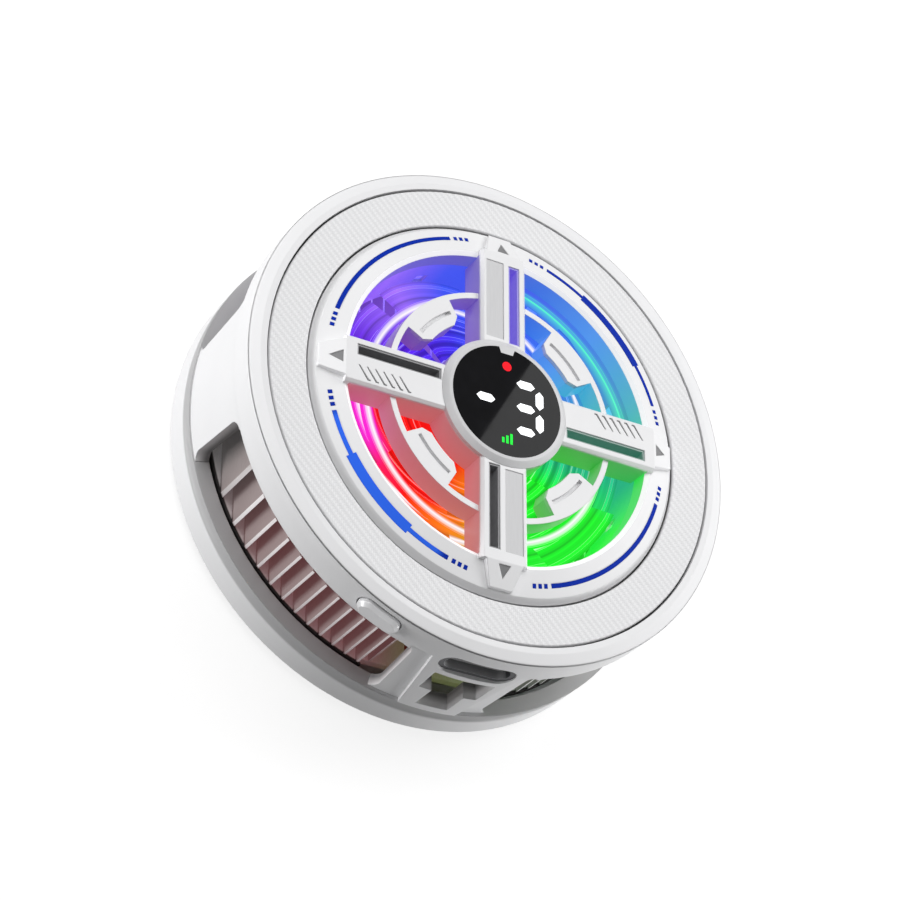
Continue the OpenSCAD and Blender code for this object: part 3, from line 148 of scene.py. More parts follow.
def make_world():
    """White studio, which lights the object far less than it shows."""
    world = bpy.data.worlds.new("studio")
    bpy.context.scene.world = world
    world.use_nodes = True
    nodes, links = world.node_tree.nodes, world.node_tree.links
    background = nodes["Background"]
    background.inputs["Color"].default_value = (1.0, 1.0, 1.0, 1.0)
    level = nodes.new("ShaderNodeMapRange")
    level.inputs["To Min"].default_value = WORLD_LIGHT
    level.inputs["To Max"].default_value = 1.0
    links.new(seen_directly(nodes, links), level.inputs["Value"])
    links.new(level.outputs["Result"], background.inputs["Strength"])


def make_floor():
    """Pale floor that keeps the shadow of the object."""
    mesh = bpy.data.meshes.new("floor")
    half = FLOOR_SIZE / 2
    corners = [(-half, -half), (half, -half), (half, half), (-half, half)]
    mesh.from_pydata([(x, y, -FLOOR_DROP) for x, y in corners], [], [(0, 1, 2, 3)])
    floor = bpy.data.objects.new("floor", mesh)
    bpy.context.scene.collection.objects.link(floor)
    made = bpy.data.materials.new("floor")
    made.use_nodes = True
    nodes, links = made.node_tree.nodes, made.node_tree.links
    shader = nodes["Principled BSDF"]
    shader.inputs["Base Color"].default_value = (FLOOR_TONE, FLOOR_TONE, FLOOR_TONE, 1.0)
    shader.inputs["Roughness"].default_value = 1.0
    shader.inputs["Specular IOR Level"].default_value = 0.0
    shader.inputs["Emission Color"].default_value = (1.0, 1.0, 1.0, 1.0)
    lift = nodes.new("ShaderNodeMath")
    lift.operation = "MULTIPLY"
    lift.inputs[1].default_value = FLOOR_LIFT
    links.new(seen_directly(nodes, links), lift.inputs[0])
    links.new(lift.outputs[0], shader.inputs["Emission Strength"])
    mesh.materials.append(made)


def softbox(name, width, height, power, place):
    """Rectangular lamp that the camera does not see."""
    data = bpy.data.lights.new(name, "AREA")
    data.shape = "RECTANGLE"
    data.size = width
    data.size_y = height
    data.energy = power
    box = bpy.data.objects.new(name, data)
    box.visible_camera = False
    bpy.context.scene.collection.objects.link(box)
    box.matrix_world = place


def make_softboxes():
    """Lamps round the object, and the one that the lens mirrors."""
    for name, azimuth, elevation, distance, width, height, power in SOFTBOXES:
        a, e = math.radians(azimuth), math.radians(elevation)
        towards = Vector((math.cos(a) * math.cos(e), math.sin(a) * math.cos(e), math.sin(e)))
        turn = towards.to_track_quat("Z", "Y").to_matrix().to_4x4()
        softbox(name, width, height, power, Matrix.Translation(towards * distance) @ turn)
    start, end = (point.to_3d() + Vector((0.0, 0.0, LENS_TOP)) for point in MIRROR_LINE)
    middle = (start + end) / 2
    mirrored = Vector((CAMERA_AT.x, CAMERA_AT.y, 2 * LENS_TOP - CAMERA_AT.z))
    away = (middle - mirrored).normalized()
    edge = (end - start) - away * away.dot(end - start)
    across = edge.cross(away).normalized()
    axes = Matrix((edge.normalized(), -across, away)).transposed().to_4x4()
    centre = middle + away * MIRROR_DISTANCE + across * MIRROR_SIDE / 2
    place = Matrix.Translation(centre) @ axes
    softbox("softbox_back", MIRROR_SIDE, MIRROR_SIDE, MIRROR_POWER, place)


# Building blocks of the materials

NOISE_DETAIL = 3.0
NOISE_RANGE = (0.3, 0.7)
BEVEL_SAMPLES = 6


class Shading:
    """A material with its Principled shader, and short ways to add nodes to it."""

    def __init__(self, name, colour, roughness, metallic=0.0):
        self.material = bpy.data.materials.new(name)
        self.material.use_nodes = True
        self.nodes = self.material.node_tree.nodes
        self.links = self.material.node_tree.links
        self.shader = self.nodes["Principled BSDF"]
        self.colour = colour
        self.roughness = roughness
        self.set("Base Color", (*colour, 1.0))
        self.set("Roughness", roughness)
        self.set("Metallic", metallic)

    def set(self, socket, value):
        self.shader.inputs[socket].default_value = value

    def feed(self, output, socket):
        self.links.new(output, self.shader.inputs[socket])

    def place(self, stretch=(1.0, 1.0, 1.0)):
        """Object coordinates in millimetres, stretched along each axis."""
        coordinates = self.nodes.new("ShaderNodeTexCoord")
        mapping = self.nodes.new("ShaderNodeMapping")
        mapping.inputs["Scale"].default_value = [s / MM for s in stretch]
        self.links.new(coordinates.outputs["Object"], mapping.inputs["Vector"])
        return mapping.outputs["Vector"]

    def noise(self, scale, stretch=(1.0, 1.0, 1.0)):
        """Noise with about this many features per millimetre."""
        texture = self.nodes.new("ShaderNodeTexNoise")
        texture.inputs["Scale"].default_value = scale
        texture.inputs["Detail"].default_value = NOISE_DETAIL
        self.links.new(self.place(stretch), texture.inputs["Vector"])
        return texture.outputs["Fac"]

    def math(self, operation, first, second=None):
        node = self.nodes.new("ShaderNodeMath")
        node.operation = operation
        for i, value in enumerate((first, second)):
            if value is None:
                continue
            if isinstance(value, (int, float)):
                node.inputs[i].default_value = value
            else:
                self.links.new(value, node.inputs[i])
        return node.outputs[0]

    def span(self, value, low, high, start=0.0, end=1.0):
        """The value, moved from the range low to high on to the range start to end."""
        node = self.nodes.new("ShaderNodeMapRange")
        node.inputs["From Min"].default_value = low
        node.inputs["From Max"].default_value = high
        node.inputs["To Min"].default_value = start
        node.inputs["To Max"].default_value = end
        self.links.new(value, node.inputs["Value"])
        return node.outputs["Result"]

    def ramp(self, factor, stops):
        """Colour ramp from a list of (place, colour)."""
        node = self.nodes.new("ShaderNodeValToRGB")
        elements = node.color_ramp.elements
        while len(elements) < len(stops):
            elements.new(0.5)
        for element, (place, colour) in zip(elements, stops):
            element.position = place
            element.color = (*colour, 1.0)
        self.links.new(factor, node.inputs["Fac"])
        return node.outputs["Color"]

    def blend(self, first, second, factor):
        """Colour between two colours, each a socket or three numbers."""
        node = self.nodes.new("ShaderNodeMix")
        node.data_type = "RGBA"
        self.links.new(factor, node.inputs["Factor"])
        for name, colour in (("A", first), ("B", second)):
            socket = next(s for s in node.inputs if s.name == name and s.type == "RGBA")
            if isinstance(colour, (tuple, list)):
                socket.default_value = (*colour, 1.0)
            else:
                self.links.new(colour, socket)
        return next(s for s in node.outputs if s.type == "RGBA")

    def tones(self, factor, change):
        """Base colour that varies by a small share with the factor."""
        low = [c * (1.0 - change) for c in self.colour]
        high = [min(1.0, c * (1.0 + change)) for c in self.colour]
        self.varied = self.ramp(factor, list(zip(NOISE_RANGE, (low, high))))
        self.feed(self.varied, "Base Color")
        return self.varied

    def facing(self, axis):
        """1 on faces that point along an axis either way, 0 on faces that lie along it."""
        normal = self.nodes.new("ShaderNodeNewGeometry").outputs["True Normal"]
        split = self.nodes.new("ShaderNodeSeparateXYZ")
        self.links.new(normal, split.inputs[0])
        return self.math("ABSOLUTE", split.outputs["XYZ".index(axis)])

    def within(self, value, low, high, soft):
        """1 where the value lies between two limits, with a soft step at each."""
        return self.math("MULTIPLY", self.span(value, low - soft, low + soft),
                         self.span(value, high + soft, high - soft))

    def gloss(self, factor, change):
        """Roughness that varies by this much with the factor."""
        low, high = self.roughness - change, self.roughness + change
        self.feed(self.span(factor, *NOISE_RANGE, low, high), "Roughness")

    def relief(self, height, depth, edge=0.0):
        """Bump of this depth in millimetres, over edges rounded by this radius in millimetres."""
        bump = self.nodes.new("ShaderNodeBump")
        bump.inputs["Strength"].default_value = 1.0
        bump.inputs["Distance"].default_value = depth * MM
        self.links.new(height, bump.inputs["Height"])
        if edge:
            bevel = self.nodes.new("ShaderNodeBevel")
            bevel.samples = BEVEL_SAMPLES
            bevel.inputs["Radius"].default_value = edge * MM
            self.links.new(bevel.outputs["Normal"], bump.inputs["Normal"])
        self.feed(bump.outputs["Normal"], "Normal")

    def around(self, fixed=False):
        """Angle from 0 to 1 round the fan axis, radius in millimetres and height in metres.

        With fixed, the place is taken in the case's frame, so that a turning piece passes through it.
        """
        if fixed:
            source = self.nodes.new("ShaderNodeNewGeometry").outputs["Position"]
        else:
            source = self.nodes.new("ShaderNodeTexCoord").outputs["Object"]
        split = self.nodes.new("ShaderNodeSeparateXYZ")
        self.links.new(source, split.inputs[0])
        x, y = split.outputs[0], split.outputs[1]
        angle = self.math("ARCTAN2", y, x)
        turn = self.span(angle, -math.pi, math.pi)
        squares = self.math("ADD", self.math("MULTIPLY", x, x), self.math("MULTIPLY", y, y))
        radius = self.math("DIVIDE", self.math("SQRT", squares), MM)
        return turn, radius, split.outputs[2]


# Light of the fan, painted on as glow

RED = (1.0, 0.008, 0.005)
CRIMSON = (0.95, 0.01, 0.10)
MAGENTA = (0.88, 0.02, 0.60)
ORANGE = (0.95, 0.20, 0.01)
OLIVE = (0.45, 0.30, 0.02)
GREEN = (0.01, 0.85, 0.02)
TEAL = (0.02, 0.45, 0.22)
CYAN = (0.05, 0.31, 0.60)
SKY = (0.05, 0.22, 0.83)
BLUE = (0.05, 0.09, 0.90)
INDIGO = (0.05, 0.03, 0.80)
VIOLET = (0.12, 0.01, 0.72)
LILAC = (0.30, 0.13, 0.95)
SEA = (0.01, 0.19, 0.11)
CORAL = (1.0, 0.20, 0.22)
ASH = (0.50, 0.48, 0.48)
ROSE = (0.90, 0.30, 0.32)
MOSS = (0.85, 1.0, 0.25)
EMBER = (0.40, 0.08, 0.10)
LEAF = (0.005, 0.70, 0.05)
LAGOON = (0.02, 0.44, 0.52)
AZURE = (0.05, 0.30, 0.90)
COBALT = (0.01, 0.14, 0.78)
DUSK = (0.10, 0.08, 0.50)
SAGE = (0.60, 0.75, 0.62)
IRIS = (0.15, 0.08, 0.95)
UNLIT = (0.0, 0.0, 0.0)
PALE = (1.0, 1.0, 1.0)

# Colours of the painted glow by angle, as shares of a turn anticlockwise from the left spoke.
# INNER and OUTER are the fan inside and outside the arc ring, WALLS the sides of the spokes, RING the
# wall of the round opening, FIN_SHEEN the fins outside the duct and LINER_GLOW the slots of the spokes.
GLOW_INNER = [(0.0, RED), (0.17, RED), (0.225, ORANGE), (0.27, GREEN), (0.42, GREEN), (0.48, TEAL),
              (0.55, CYAN), (0.63, BLUE), (0.74, BLUE), (0.80, INDIGO), (0.94, VIOLET), (1.0, CRIMSON)]
GLOW_OUTER = [(0.0, MAGENTA), (0.06, MAGENTA), (0.10, CRIMSON), (0.14, RED), (0.20, ORANGE),
              (0.245, OLIVE), (0.27, GREEN), (0.42, GREEN), (0.48, TEAL), (0.52, TEAL), (0.57, CYAN),
              (0.63, SKY), (0.72, BLUE), (0.79, BLUE), (0.86, LILAC), (0.94, VIOLET), (1.0, MAGENTA)]
GLOW_WALLS = [(0.0, CORAL), (0.25, CORAL), (0.262, GREEN), (0.46, GREEN), (0.52, TEAL), (0.60, SKY),
              (0.74, BLUE), (0.80, LILAC), (0.95, VIOLET), (1.0, CORAL)]
GLOW_RING = [(0.0, EMBER), (0.25, EMBER), (0.265, LEAF), (0.48, LEAF), (0.55, LAGOON), (0.63, AZURE),
             (0.70, COBALT), (0.79, DUSK), (0.95, DUSK), (1.0, EMBER)]
FIN_SHEEN = [(0.0, ASH), (0.04, ASH), (0.10, ROSE), (0.21, ROSE), (0.245, MOSS), (0.28, MOSS),
             (0.31, SAGE), (0.46, SAGE), (0.54, CYAN), (0.66, BLUE), (0.80, LILAC), (0.95, VIOLET),
             (1.0, ASH)]
LINER_GLOW = [(0.40, UNLIT), (0.44, SEA), (0.56, SEA), (0.66, IRIS), (0.84, IRIS), (0.88, UNLIT)]
GLOW_STRENGTH = 1.2
LINER_STRENGTH = 0.45

# Radii in millimetres where the inner painted glow gives way to the outer, and of the white glowing core
# of the hoop
GLOW_SPLIT = (13.8, 15.6)
HOOP_CORE = (15.7, 16.25)

# Angles between which the walls take the ring's painted glow and shade, the duct has its thin painted
# light lines and the printed arc has a painted highlight
BLUE_QUARTER = (0.53, 0.72)
DUCT_QUARTER = (0.52, 0.72)
HIGHLIGHT_ARC = (0.05, 0.194)


# Tones of the case and the trim, and depths in millimetres from the outer wall

# Painted shade on the faces inside the openings, between these depths
OPENING_SHADE_GREY = (0.24, 0.24, 0.245)
OPENING_DEPTHS = (0.65, 1.7)
# Painted shade in the hollow band under the wall and on the sill inside the vents
COVE_SHADE_GREY = (0.46, 0.46, 0.465)
COVE_DEPTHS = (0.02, 0.15)
COVE_SOFT = 0.04 * MM
SILL_SHADE_GREY = (0.55, 0.55, 0.555)
SILL_DROPS = (0.05 * MM, 0.02 * MM)
# Painted shade in the gaps between the yarns, and the white of their crowns
YARN_GAP_SHADE = (0.60, 0.60, 0.61)
YARN_WHITE = (0.84, 0.84, 0.85)
# Painted highlight on the broad printed arc
ARC_HIGHLIGHT_BLUE = (0.03, 0.14, 0.85)
ARC_SOFT = 0.004
MARK_DIP = 0.94
MARK_STRENGTH = 0.95

# Tones of the boards and the flat cables

MASK = (0.20, 0.13, 0.035)
MASK_PALE = (0.23, 0.15, 0.040)
TRACK = (0.32, 0.27, 0.08)
FILM = (0.55, 0.25, 0.04)
STRIP = (0.70, 0.38, 0.10)

# Grille: painted shade greys of the sides, offsets in millimetres from the round opening, slopes by
# how far a face points up, the tabs by their share of a quarter turn, and strengths of the painted glow

# Painted shade under the painted glow on the grille's sides
WALL_SHADE_GREY = (0.40, 0.38, 0.39)
RING_SHADE_GREY = (0.25, 0.25, 0.25)
WINDOW_EDGE = (0.12, 0.06)
RING_EDGE = (-0.15, -0.05)
RIM_BAND = (-0.1, 0.6)
BAND_SOFT = 0.05
SHADE_SOFT = 0.15 * MM
TAB_SOFT = 0.05 * MM
UPRIGHT = (0.45, 0.30)
RIM_SLOPE = (0.38, 0.93)
SLOPE_SOFT = 0.03
QUARTER_SOFT = 0.01
TAB_SPREAD = (0.18, 0.16)
TAB_GROOVE = (11.0, 13.9)
WALL_GLOW, RING_GLOW, RIM_GLOW = 0.28, 0.75, 0.25

# Fan: streaks of painted glow round its axis, the painted highlight lines among them and the glowing
# core of the hoop

STREAK_SCALE = 1.3
STREAK_DETAIL = 2.0
STREAK_LEVELS = (0.55, 1.15)
STREAK_LINES = (0.575, 0.600)
STREAK_LINE_SOFT = 0.010
LINE_HIGHLIGHT, CORE_GLOW = 0.30, 0.9
CORE_SOFT = 0.22
CORE_COLOUR = (1.0, 0.95, 1.0)

# Duct: grey of its painted shade, the painted green light lines along its upper edge, strengths of its
# painted glow

DUCT_SHADE_GREY = (0.12, 0.12, 0.13)
DUCT_EDGE = (0.1, 0.05)
MINT = (0.08, 0.85, 0.45)
LINE_WIDTH, LINE_SOFT = 0.3 * MM, 0.06 * MM
HALO_WIDTH, HALO_SHARE = 1.2 * MM, 0.6
FINE_FROM, FINE_TO, FINE_SOFT = 0.7 * MM, 0.8 * MM, 0.05 * MM
FINE_SHARE = 0.8
DUCT_QUARTER_SOFT = 0.02
DUCT_GLOW = (0.8, 1.1)

# Fins: painted shade greys of their sides and foot, the foot's height and depth, and the painted glow
# that they take on under the fan and beside it

FIN_SIDE_SHADE = (0.30, 0.265, 0.26)
FOOT_SHADE = (0.04, 0.038, 0.038)
FIN_SIDE = (0.90, 0.95)
FOOT_HEIGHTS = (0.35 * MM, 0.20 * MM)
FOOT_DEPTHS = (0.40, 0.25)
DUCT_REACH = (1.0, 2.0)
FIN_GLOW = (0.45, 0.07)


# Finishes shared by several pieces

def metal(name, colour, roughness, stretch=(1.0, 1.0, 1.0)):
    """Metal with fine drawn or ground lines along the axis that is stretched least."""
    made = Shading(name, colour, roughness, metallic=1.0)
    grain = made.noise(scale=9.0, stretch=stretch)
    made.tones(grain, change=0.05)
    made.gloss(grain, change=0.08)
    made.relief(grain, depth=0.006, edge=0.05)
    return made


def plastic(name, colour, roughness, grain=6.0):
    """Moulded plastic with a fine grain and softened edges."""
    made = Shading(name, colour, roughness)
    made.tones(made.noise(scale=1.0), change=0.06)
    made.gloss(made.noise(scale=2.0), change=0.06)
    made.relief(made.noise(scale=grain), depth=0.008, edge=0.06)
    return made


def rubber(name, colour, pores):
    """Matt rubber or foam with pores."""
    made = Shading(name, colour, roughness=0.75)
    made.tones(made.noise(scale=pores), change=0.15)
    made.gloss(made.noise(scale=2.0), change=0.08)
    made.relief(made.noise(scale=pores), depth=0.03, edge=0.1)
    return made


# Finishes of the case and the trim

def white_shell(name="white_shell", tone=0.80):
    """White moulded shell, satin, with softened edges."""
    made = Shading(name, (tone, tone, tone + 0.01), roughness=0.34)
    made.tones(made.noise(scale=0.12), change=0.012)
    made.gloss(made.noise(scale=0.6), change=0.04)
    made.relief(made.noise(scale=7.0), depth=0.0012, edge=0.16)
    made.set("Specular IOR Level", 0.12)
    made.set("Coat Weight", 0.04)
    made.set("Coat Roughness", 0.18)
    return made


def vented_wall():
    """White wall, greyed by painted shade on the faces inside its openings."""
    made = white_shell("vented_wall")
    _, radius, _ = made.around()
    # painted shade on the faces inside the openings
    inside = made.span(radius, *(CASE_R / MM - depth for depth in OPENING_DEPTHS))
    made.feed(made.blend(made.varied, OPENING_SHADE_GREY, inside), "Base Color")
    return made


def base_shell():
    """White base, greyed by painted shade in the hollow band under the wall and on the sill inside the
    vents.
    """
    made = white_shell("base_shell")
    _, radius, height = made.around()
    # painted shade in the hollow band and on the sill
    hollow = made.math("MULTIPLY", made.within(height, COVE_FOOT, COVE_TOP, COVE_SOFT),
                       made.span(radius, *(BASE_R / MM - depth for depth in COVE_DEPTHS)))
    sill = made.span(height, *(WALL_FOOT - drop for drop in SILL_DROPS))
    tone = made.blend(made.varied, COVE_SHADE_GREY, hollow)
    made.feed(made.blend(tone, SILL_SHADE_GREY, sill), "Base Color")
    return made


def button_satin():
    """White with a pearly share that mirrors the studio softly."""
    made = white_shell("button_satin", tone=0.66)
    made.set("Metallic", 0.3)
    return made


def trim_weave():
    """Woven yarns, each in the tone and painted shade that the mesh gives it: paler on the crowns,
    darker in the dips.
    """
    made = Shading("trim_weave", (0.80, 0.80, 0.81), roughness=0.38)
    yarn = made.nodes.new("ShaderNodeAttribute")
    yarn.attribute_name = YARN_TONE_AND_SHADE
    made.feed(made.ramp(yarn.outputs["Fac"], [(0.0, YARN_GAP_SHADE), (1.0, YARN_WHITE)]), "Base Color")
    made.gloss(made.noise(scale=3.0), change=0.05)
    made.relief(made.noise(scale=14.0, stretch=(1.0, 0.25, 1.0)), depth=0.004)
    made.set("Specular IOR Level", 0.15)
    made.set("Coat Weight", 0.05)
    made.set("Coat Roughness", 0.2)
    return made


def dark_adhesive():
    """Dark bonding layer, rough and uneven."""
    made = Shading("dark_adhesive", (0.02, 0.02, 0.02), roughness=0.8)
    made.tones(made.noise(scale=6.0), change=0.3)
    made.gloss(made.noise(scale=4.0), change=0.1)
    made.relief(made.noise(scale=9.0), depth=0.02)
    return made


def accent_blue():
    """Printed blue: dark, with a painted highlight that lightens the broad arc at the lower left."""
    made = Shading("accent_blue", (0.004, 0.028, 0.36), roughness=0.5)
    made.set("Specular IOR Level", 0.03)
    print_tone = made.tones(made.noise(scale=1.5), change=0.04)
    turn, _, _ = made.around()
    # painted highlight on the broad arc
    lighter = made.within(turn, *HIGHLIGHT_ARC, ARC_SOFT)
    made.feed(made.blend(print_tone, ARC_HIGHLIGHT_BLUE, lighter), "Base Color")
    made.gloss(made.noise(scale=3.0), change=0.05)
    return made


def mark_grey():
    """Dark grey inlays in the engraved marks: painted shade standing in for the shade inside them."""
    made = Shading("mark_grey", (0.17, 0.17, 0.175), roughness=0.55)
    made.tones(made.noise(scale=2.0), change=0.06)
    made.gloss(made.noise(scale=4.0), change=0.06)
    made.relief(made.noise(scale=9.0), depth=0.004)
    return made


def panel_silver():
    """Satin plates in the two spoke panels, brushed along the spokes."""
    made = Shading("panel_silver", (0.54, 0.54, 0.55), roughness=0.5)
    grain = made.noise(scale=5.0, stretch=(1.0, 0.08, 1.0))
    made.tones(grain, change=0.03)
    made.gloss(grain, change=0.05)
    made.relief(grain, depth=0.002)
    return made


def liner_dark():
    """Slot liners: dark, with the fan's light painted on as a glow in the right and top spokes."""
    made = Shading("liner_dark", (0.26, 0.26, 0.27), roughness=0.45)
    made.tones(made.noise(scale=2.0), change=0.08)
    made.gloss(made.noise(scale=3.0), change=0.06)
    turn, _, _ = made.around()
    # painted glow of the fan's light
    made.feed(made.ramp(turn, LINER_GLOW), "Emission Color")
    made.set("Emission Strength", LINER_STRENGTH)
    return made


def hub_silver():
    """Silver lacquer of the hub's ring."""
    made = Shading("hub_silver", (0.60, 0.60, 0.61), roughness=0.4)
    made.tones(made.noise(scale=0.8), change=0.02)
    made.gloss(made.noise(scale=2.0), change=0.01)
    made.set("Specular IOR Level", 0.3)
    return made


def lens_black():
    """Black glossy lens of the display."""
    made = Shading("lens_black", (0.004, 0.004, 0.005), roughness=0.02)
    made.set("Specular IOR Level", 0.06)
    made.gloss(made.noise(scale=0.4), change=0.008)
    made.tones(made.noise(scale=0.6), change=0.2)
    return made


def lit_mark(name, colour):
    """Light guide set in the lens, with a glow that varies slightly."""
    made = Shading(name, colour, roughness=0.4)
    grain = made.noise(scale=3.0)
    made.tones(grain, change=0.04)
    softer = [c * MARK_DIP for c in colour]
    made.feed(made.ramp(grain, list(zip(NOISE_RANGE, (softer, colour)))), "Emission Color")
    made.set("Emission Strength", MARK_STRENGTH)
    made.set("Specular IOR Level", 0.05)
    return made


# Finishes with the fan's light painted on as glow, and the lamp chips

def fan_light(made, turn, radius):
    """Colour of the fan's light at an angle and a radius."""
    inner, outer = made.ramp(turn, GLOW_INNER), made.ramp(turn, GLOW_OUTER)
    return made.blend(inner, outer, made.span(radius, *GLOW_SPLIT))


def lit_grille():
    """White grille: painted shade and the fan's light painted on as glow on its sides, and a painted
    highlight on the edge of the opening.
    """
    made = white_shell("lit_grille")
    turn, radius, height = made.around()
    window = WINDOW_R / MM
    flat = made.facing("Z")
    low = made.span(height, SPOKE_SHADE + SHADE_SOFT, SPOKE_SHADE - SHADE_SOFT)
    inside = made.math("MULTIPLY", low, made.span(radius, *(window + gap for gap in WINDOW_EDGE)))
    quarter = made.math("FRACT", made.math("MULTIPLY", turn, 4.0))
    tab = made.span(made.math("ABSOLUTE", made.math("SUBTRACT", quarter, 0.5)), *TAB_SPREAD)
    groove = made.math("MULTIPLY", tab, made.span(height, TAB_FLOOR - TAB_SOFT, TAB_FLOOR + TAB_SOFT))
    groove = made.math("MULTIPLY", groove, made.within(radius, *TAB_GROOVE, BAND_SOFT))
    inside = made.math("MULTIPLY", inside, made.math("SUBTRACT", 1.0, groove))
    # painted shade and painted glow on the sides inside the well
    glow_and_shade = made.math("MULTIPLY", inside, made.span(flat, *UPRIGHT))
    # painted highlight on the edge of the opening
    rim = made.math("MULTIPLY", made.within(radius, *(window + gap for gap in RIM_BAND), BAND_SOFT),
                    made.within(flat, *RIM_SLOPE, SLOPE_SOFT))
    rim = made.math("MULTIPLY", rim, low)
    ring = made.math("MAXIMUM", made.span(radius, *(window + gap for gap in RING_EDGE)),
                     made.within(turn, *BLUE_QUARTER, QUARTER_SOFT))
    ring = made.math("MULTIPLY", glow_and_shade, ring)
    tone = made.blend(made.varied, WALL_SHADE_GREY, glow_and_shade)
    made.feed(made.blend(tone, RING_SHADE_GREY, ring), "Base Color")
    glow = made.blend(made.ramp(turn, GLOW_WALLS), made.ramp(turn, GLOW_RING), ring)
    made.feed(made.blend(glow, PALE, rim), "Emission Color")
    reach = made.math("MULTIPLY", glow_and_shade, made.span(ring, 0.0, 1.0, WALL_GLOW, RING_GLOW))
    made.feed(made.math("ADD", reach, made.math("MULTIPLY", rim, RIM_GLOW)), "Emission Strength")
    return made


def fan_plastic():
    """Clear fan with the LED ring's light painted on as glow in bands round its axis, painted highlight
    lines among them, and a white glowing core along its hoop.
    """
    made = Shading("fan_plastic", (0.012, 0.012, 0.014), roughness=0.4)
    made.set("Specular IOR Level", 0.02)
    turn, radius, _ = made.around(fixed=True)
    streaks = made.nodes.new("ShaderNodeTexNoise")
    streaks.noise_dimensions = "1D"
    streaks.inputs["Scale"].default_value = STREAK_SCALE
    streaks.inputs["Detail"].default_value = STREAK_DETAIL
    made.links.new(radius, streaks.inputs["W"])
    band = streaks.outputs["Fac"]
    level = made.span(band, *NOISE_RANGE, *STREAK_LEVELS)
    # painted highlight lines among the streaks, and the hoop's white glowing core
    lines = made.math("MULTIPLY", made.within(band, *STREAK_LINES, STREAK_LINE_SOFT), LINE_HIGHLIGHT)
    core = made.math("MULTIPLY", made.within(radius, *HOOP_CORE, CORE_SOFT), CORE_GLOW)
    highlight_and_core = made.math("MAXIMUM", lines, core)
    made.feed(made.blend(fan_light(made, turn, radius), CORE_COLOUR, highlight_and_core), "Emission Color")
    made.feed(made.math("MULTIPLY", level, GLOW_STRENGTH), "Emission Strength")
    made.relief(band, depth=0.05)
    return made


def frame_grey():
    """Fan frame: pale plastic, with painted shade inside the duct and the fan's colours painted on it as
    glow.
    """
    made = Shading("frame_grey", (0.7, 0.7, 0.72), roughness=0.4)
    made.gloss(made.noise(scale=1.5), change=0.05)
    made.relief(made.noise(scale=7.0), depth=0.0012, edge=0.15)
    turn, radius, height = made.around()
    inside = made.span(radius, *(WINDOW_R / MM + gap for gap in DUCT_EDGE))
    # painted shade inside the duct
    made.feed(made.ramp(inside, [(0.0, made.colour), (1.0, DUCT_SHADE_GREY)]), "Base Color")
    # painted green light lines along the duct's upper edge
    core = made.within(height, DUCT_LINE, DUCT_LINE + LINE_WIDTH, LINE_SOFT)
    halo = made.math("ABSOLUTE", made.math("SUBTRACT", height, DUCT_LINE))
    halo = made.span(halo, HALO_WIDTH, 0.0, 0.0, HALO_SHARE)
    fine = made.within(height, DUCT_LINE + FINE_FROM, DUCT_LINE + FINE_TO, FINE_SOFT)
    fine = made.math("MULTIPLY", fine, FINE_SHARE)
    line = made.math("MAXIMUM", core, made.math("MAXIMUM", halo, fine))
    line = made.math("MULTIPLY", line, made.within(turn, *DUCT_QUARTER, DUCT_QUARTER_SOFT))
    made.feed(made.blend(fan_light(made, turn, radius), MINT, line), "Emission Color")
    strength = made.span(line, 0.0, 1.0, *DUCT_GLOW)
    made.feed(made.math("MULTIPLY", inside, strength), "Emission Strength")
    return made


def fin_aluminium():
    """Drawn fins: bright ends, painted shade on the sides and as a dark rim at the foot, painted glow
    under the fan.
    """
    made = metal("fin_aluminium", (0.80, 0.80, 0.80), roughness=0.45, stretch=(1.0, 0.15, 1.0))
    made.set("Metallic", 0.3)
    turn, radius, height = made.around()
    # painted shade on the fin sides and at the foot
    sides = made.span(made.facing("X"), *FIN_SIDE)
    foot = made.math("MULTIPLY", made.span(height, *(PLATE_TOP + rise for rise in FOOT_HEIGHTS)),
                     made.span(radius, *(SINK_R / MM - depth for depth in FOOT_DEPTHS)))
    tone = made.blend(made.varied, FIN_SIDE_SHADE, sides)
    made.feed(made.blend(tone, FOOT_SHADE, foot), "Base Color")
    # fan's light painted on as glow
    outside = made.span(radius, *(WINDOW_R / MM + gap for gap in DUCT_REACH))
    under, beside = made.ramp(turn, GLOW_WALLS), made.ramp(turn, FIN_SHEEN)
    made.feed(made.blend(under, beside, outside), "Emission Color")
    reach = made.span(outside, 0.0, 1.0, *FIN_GLOW)
    made.feed(made.math("MULTIPLY", reach, made.math("SUBTRACT", 1.0, foot)), "Emission Strength")
    return made


def led_yellow():
    """Lamp chips, each in the colour of its place in the ring."""
    made = Shading("led_yellow", (0.6, 0.55, 0.3), roughness=0.4)
    made.tones(made.noise(scale=3.0), change=0.05)
    turn, _, _ = made.around()
    made.feed(made.ramp(turn, GLOW_OUTER), "Emission Color")
    made.set("Emission Strength", GLOW_STRENGTH)
    return made


# Finishes of the inner pieces

def socket_steel():
    """Drawn shell of the socket: a dark rim, and a paler inside with light painted on the faces that
    point up or down.
    """
    made = metal("socket_steel", (0.06, 0.06, 0.065), roughness=0.5)
    made.set("Metallic", 0.4)
    # painted light on the faces that point up or down
    inner = made.span(made.facing("Z"), 0.3, 0.8)
    made.feed(made.blend(made.varied, (0.42, 0.42, 0.43), inner), "Base Color")
    return made


